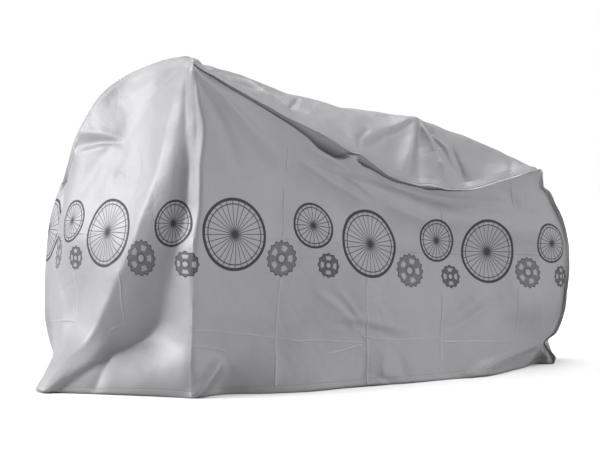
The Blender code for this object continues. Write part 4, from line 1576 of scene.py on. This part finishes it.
@dataclass
class WeldFin:
    """A flat fin of two fused films that stands along a weld and flops to one side.

    sway and width_sway are the shares by which its turn and its width vary, and width_lag is how
    many places the second lags behind the first.
    """

    edge: Edge
    shape: tuple[FinRow, ...]
    start: float = -0.002
    steps: int = 6
    thickness: float = 0.0012
    corner_gap: float = 0.002
    seed: int = 5
    wave_lengths: tuple[float, ...] = (0.31, 0.19, 0.11, 0.067, 0.041)
    full_turn: float = 6.28
    sway: float = 0.35
    width_sway: float = 0.15
    width_lag: int = 9
    level_ends: int = 5
    end_width: float = 0.3
    end_reach: float = 0.018

    def line_of(self, grid: np.ndarray) -> np.ndarray:
        """The row of a panel's grid that runs along this weld."""
        rows = {Edge.TOP: np.s_[:, 0], Edge.FRONT: 0, Edge.REAR: -1}
        return grid[rows[self.edge]]

    def wave(self, places: np.ndarray) -> np.ndarray:
        """An uneven wave along the fin, from -1 to 1.

        Args:
            places: distances along the weld.

        Returns:
            The wave at each place.
        """
        rng = np.random.default_rng(self.seed + len(self.edge.value))
        wave = sum(
            np.sin(2 * math.pi * places / length + rng.random() * self.full_turn) * length
            for length in self.wave_lengths
        )
        return wave / np.abs(wave).max()

    def ways(self, near_way: np.ndarray, far_way: np.ndarray) -> tuple[np.ndarray, np.ndarray]:
        """Directions away from the bag, and across the fin to its near side.

        Args:
            near_way: the near panel's outward directions along the weld.
            far_way: the far panel's.

        Returns:
            Both directions at each place, as unit vectors.
        """
        outward = near_way + far_way
        outward[:self.level_ends] = outward[self.level_ends]
        outward[-self.level_ends:] = outward[-self.level_ends - 1]
        outward = unit(outward)
        across = near_way - outward * np.sum(near_way * outward, axis=1, keepdims=True)
        return outward, unit(across)

    def build(
        self, line: np.ndarray, near_way: np.ndarray, far_way: np.ndarray,
        finish: bpy.types.Material,
    ) -> bpy.types.Object:
        """Builds the fin.

        Args:
            line: points of the weld.
            near_way: the near panel's outward directions there.
            far_way: the far panel's.
            finish: the welded film's material.

        Returns:
            The finished piece.
        """
        length = along_line(line)
        places = np.linspace(self.corner_gap, length[-1] - self.corner_gap, 2 * len(line))
        middle, near_way, far_way = (
            np.stack([np.interp(places, length, axis) for axis in values.T], axis=1)
            for values in (line, near_way, far_way)
        )
        outward, side = self.ways(near_way, far_way)
        wave = self.wave(places)
        shape = np.array(self.shape)
        flop, breadth = (
            np.interp(places / length[-1], shape[:, 0], shape[:, k]) for k in (1, 2)
        )
        turn = flop * (1.0 + self.sway * wave)
        to_end = np.minimum(places - places[0], places[-1] - places)
        inside = np.clip(to_end / self.end_reach, 0.0, 1.0)
        ends = self.end_width + (1.0 - self.end_width) * inside
        width = breadth * (1.0 + self.width_sway * np.roll(wave, self.width_lag)) * ends
        rows = [middle + outward * self.start]
        for step in range(self.steps):
            angle = (turn * (step + 1) / self.steps)[:, None]
            way = outward * np.cos(angle) + side * np.sin(angle)
            rows.append(rows[-1] + way * ((width - self.start) / self.steps)[:, None])
        fin = grid_object(f"{self.edge.value}_fin", np.stack(rows, axis=1), False)
        across = np.linspace(self.start, shape[:, 2].max(), self.steps + 1)
        put_uv(fin, np.stack(np.broadcast_arrays(places[:, None], across[None, :]), axis=2))
        fin.data.materials.append(finish)
        thicken(fin, self.thickness, 0.0, 0)
        return fin


# ------------------------------------------------------------------------ mesh handling


def grid_object(name: str, points: np.ndarray, turned: bool) -> bpy.types.Object:
    """Adds a grid and moves its points into place.

    Args:
        name: the piece's name.
        points: the grid, heights above the floor, as [i][j][xyz].
        turned: True to turn its faces round.

    Returns:
        The new object, at the origin.
    """
    bpy.ops.object.select_all(action="DESELECT")
    columns, rows = points.shape[:2]
    bpy.ops.mesh.primitive_grid_add(x_subdivisions=columns - 1, y_subdivisions=rows - 1, size=1.0)
    sheet = bpy.context.object
    sheet.name = name
    sheet.data.name = name
    placed = points - np.array(ORIGIN)
    sheet.data.vertices.foreach_set("co", placed.transpose(1, 0, 2).reshape(-1))
    sheet.data.update()
    if turned:
        bpy.ops.object.mode_set(mode="EDIT")
        bpy.ops.mesh.select_all(action="SELECT")
        bpy.ops.mesh.flip_normals()
        bpy.ops.object.mode_set(mode="OBJECT")
    bpy.ops.object.shade_smooth()
    return sheet


def put_uv(sheet: bpy.types.Object, flat: np.ndarray) -> None:
    """Keeps the place on the flat-cut film as the piece's UV map.

    Args:
        sheet: the piece, before it is thickened.
        flat: distance along and height above the print for each grid point.
    """
    mesh = sheet.data
    while mesh.uv_layers:
        mesh.uv_layers.remove(mesh.uv_layers[0])
    layer = mesh.uv_layers.new(name="cut")
    corners = np.empty(len(mesh.loops), np.int32)
    mesh.loops.foreach_get("vertex_index", corners)
    values = flat.transpose(1, 0, 2).reshape(-1, 2)[corners]
    layer.data.foreach_set("uv", values.astype(np.float32).reshape(-1))


def put_number(sheet: bpy.types.Object, name: str, values: np.ndarray) -> None:
    """Keeps a number at each point of the piece, before it is thickened."""
    layer = sheet.data.attributes.new(name, "FLOAT", "POINT")
    layer.data.foreach_set("value", values.T.reshape(-1).astype(np.float32))


def thicken(sheet: bpy.types.Object, thickness: float, offset: float, back: int) -> None:
    """Gives a sheet its thickness.

    Args:
        sheet: the piece.
        thickness: the thickness of the film.
        offset: 1 outwards, 0 to both sides.
        back: how many slots further the back's material is.
    """
    bpy.ops.object.select_all(action="DESELECT")
    sheet.select_set(True)
    bpy.context.view_layer.objects.active = sheet
    solidify = sheet.modifiers.new("film", "SOLIDIFY")
    solidify.thickness = thickness
    solidify.offset = offset
    solidify.use_rim = True
    solidify.material_offset = back
    bpy.ops.object.modifier_apply(modifier="film")


# ------------------------------------------------------------------------------- studio


@dataclass(frozen=True)
class FarLamp:
    """A lamp so far away that it lights the whole floor alike, with soft shadows."""

    name: str
    place: Point
    strength: float
    spread: float

    def build(self) -> None:
        """Adds the lamp, turned towards the origin."""
        light = bpy.data.lights.new(self.name, "SUN")
        light.energy = self.strength
        light.angle = math.radians(self.spread)
        lamp = bpy.data.objects.new(self.name, light)
        bpy.context.scene.collection.objects.link(lamp)
        lamp.location = self.place
        gaze = -np.array(self.place)
        rise = math.pi / 2 + math.atan2(gaze[2], math.hypot(gaze[0], gaze[1]))
        lamp.rotation_euler = (rise, 0.0, math.atan2(gaze[1], gaze[0]) - math.pi / 2)


@dataclass
class Studio:
    """The floor, the soft lamps, the pale room and the camera."""

    camera_place: Point = (-1.397, -3.992, -0.360)
    camera_tilt: float = -1.695
    camera_turn: float = -24.0
    lens: float = 79.08
    sensor: float = 36.0
    floor_radius: float = 60.0
    floor_sides: int = 96
    floor_clouds: float = 1.2
    floor_grey: Colour = (0.60, 0.60, 0.60, 1.0)
    floor_light: Colour = (0.62, 0.62, 0.62, 1.0)
    floor_roughness: float = 0.85
    room_grey: Colour = (0.18, 0.18, 1.02 * 0.18, 1.0)
    room_seen: Colour = (1.0, 1.0, 1.0, 1.0)
    lamps: tuple[FarLamp, ...] = (
        FarLamp("key", (-8.0, 4.0, 4.6), 5.9, 40.0),
        FarLamp("fill", (8.0, -6.8, 3.0), 1.5, 38.0),
        FarLamp("top", (1.5, 0.5, 8.0), 4.2, 40.0),
    )

    def build_camera(self) -> None:
        """Adds the camera."""
        data = bpy.data.cameras.new("camera")
        data.lens = self.lens
        data.sensor_width = self.sensor
        camera = bpy.data.objects.new("camera", data)
        bpy.context.scene.collection.objects.link(camera)
        camera.location = self.camera_place
        tilt, turn = math.radians(90.0 + self.camera_tilt), math.radians(self.camera_turn)
        camera.rotation_euler = (tilt, 0.0, turn)
        bpy.context.scene.camera = camera

    def build_floor(self) -> None:
        """Adds the plain pale floor."""
        bpy.ops.object.select_all(action="DESELECT")
        bpy.ops.mesh.primitive_circle_add(
            vertices=self.floor_sides,
            radius=self.floor_radius,
            fill_type="NGON",
            location=(0.0, 0.0, -ORIGIN[2]),
        )
        floor = bpy.context.object
        floor.name = "floor"
        material = bpy.data.materials.new("pale_floor")
        wiring = Wiring(material)
        shade = wiring.noise(wiring.object_place(), self.floor_clouds, detail=2.0)
        colour = wiring.colour_mix(shade, self.floor_grey, self.floor_light)
        wiring.finish(colour, self.floor_roughness, None, 0.0)
        floor.data.materials.append(material)

    def build_room(self) -> None:
        """Lights the scene evenly from a pale room, which itself is seen white."""
        world = bpy.data.worlds.new("room")
        bpy.context.scene.world = world
        world.use_nodes = True
        tree = world.node_tree
        seen = tree.nodes.new("ShaderNodeLightPath")
        mix = tree.nodes.new("ShaderNodeMix")
        mix.data_type = "RGBA"
        mix.inputs[MIX_FIRST].default_value = self.room_grey
        mix.inputs[MIX_SECOND].default_value = self.room_seen
        tree.links.new(seen.outputs["Is Camera Ray"], mix.inputs["Factor"])
        tree.links.new(mix.outputs[MIX_RESULT], tree.nodes["Background"].inputs["Color"])

    def build(self) -> None:
        """Builds everything that isn't part of the cover."""
        self.build_camera()
        self.build_floor()
        self.build_room()
        for lamp in self.lamps:
            lamp.build()
        bpy.context.scene.view_settings.view_transform = "Standard"


@dataclass
class BicycleCover:
    """The whole cover: two panels of printed film and three welded edges."""

    near: NearPanel = field(default_factory=NearPanel)
    far: FarPanel = field(default_factory=FarPanel)
    fins: tuple[WeldFin, ...] = (
        WeldFin(Edge.TOP, table(
            FinRow,
            (0.0, -1.2, 0.004), (0.34, -1.2, 0.004), (0.40, 1.35, 0.009), (0.94, 1.35, 0.009),
            (1.0, 0.6, 0.012),
        )),
        WeldFin(Edge.FRONT, table(FinRow, (0.0, -1.0, 0.005), (1.0, -1.0, 0.005))),
        WeldFin(Edge.REAR, table(
            FinRow, (0.0, 0.6, 0.016), (0.3, 0.4, 0.012), (1.0, 0.4, 0.012),
        )),
    )

    def build(self) -> None:
        """Builds and dresses every piece, attaches it to the root and hides its CAD part."""
        inside = InsideFilm().make()
        welded = WeldedFilm().make()
        near_film = SilverFilm("silver_film_near", NEAR_CREASES).make()
        far_film = SilverFilm("silver_film_far", FAR_CREASES).make()
        near_sheet = self.near.build(near_film, inside)
        far_sheet = self.far.build(far_film, inside)
        points = self.near.points()
        near_ways, far_ways = (
            panel.outward(panel.base(*self.near.places())) for panel in (self.near, self.far)
        )
        fins = [
            fin.build(*(fin.line_of(grid) for grid in (points, near_ways, far_ways)), welded)
            for fin in self.fins
        ]
        for piece, node in zip((near_sheet, far_sheet, *fins), (*Side, *Edge)):
            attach(piece, "root")
            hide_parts(node.value)
            LOG.info("%s: %d faces", piece.name, len(piece.data.polygons))


def main() -> None:
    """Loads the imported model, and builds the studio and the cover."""
    logging.basicConfig(level=logging.INFO, format="%(message)s")
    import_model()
    Studio().build()
    BicycleCover().build()


if __name__ == "__main__":
    main()
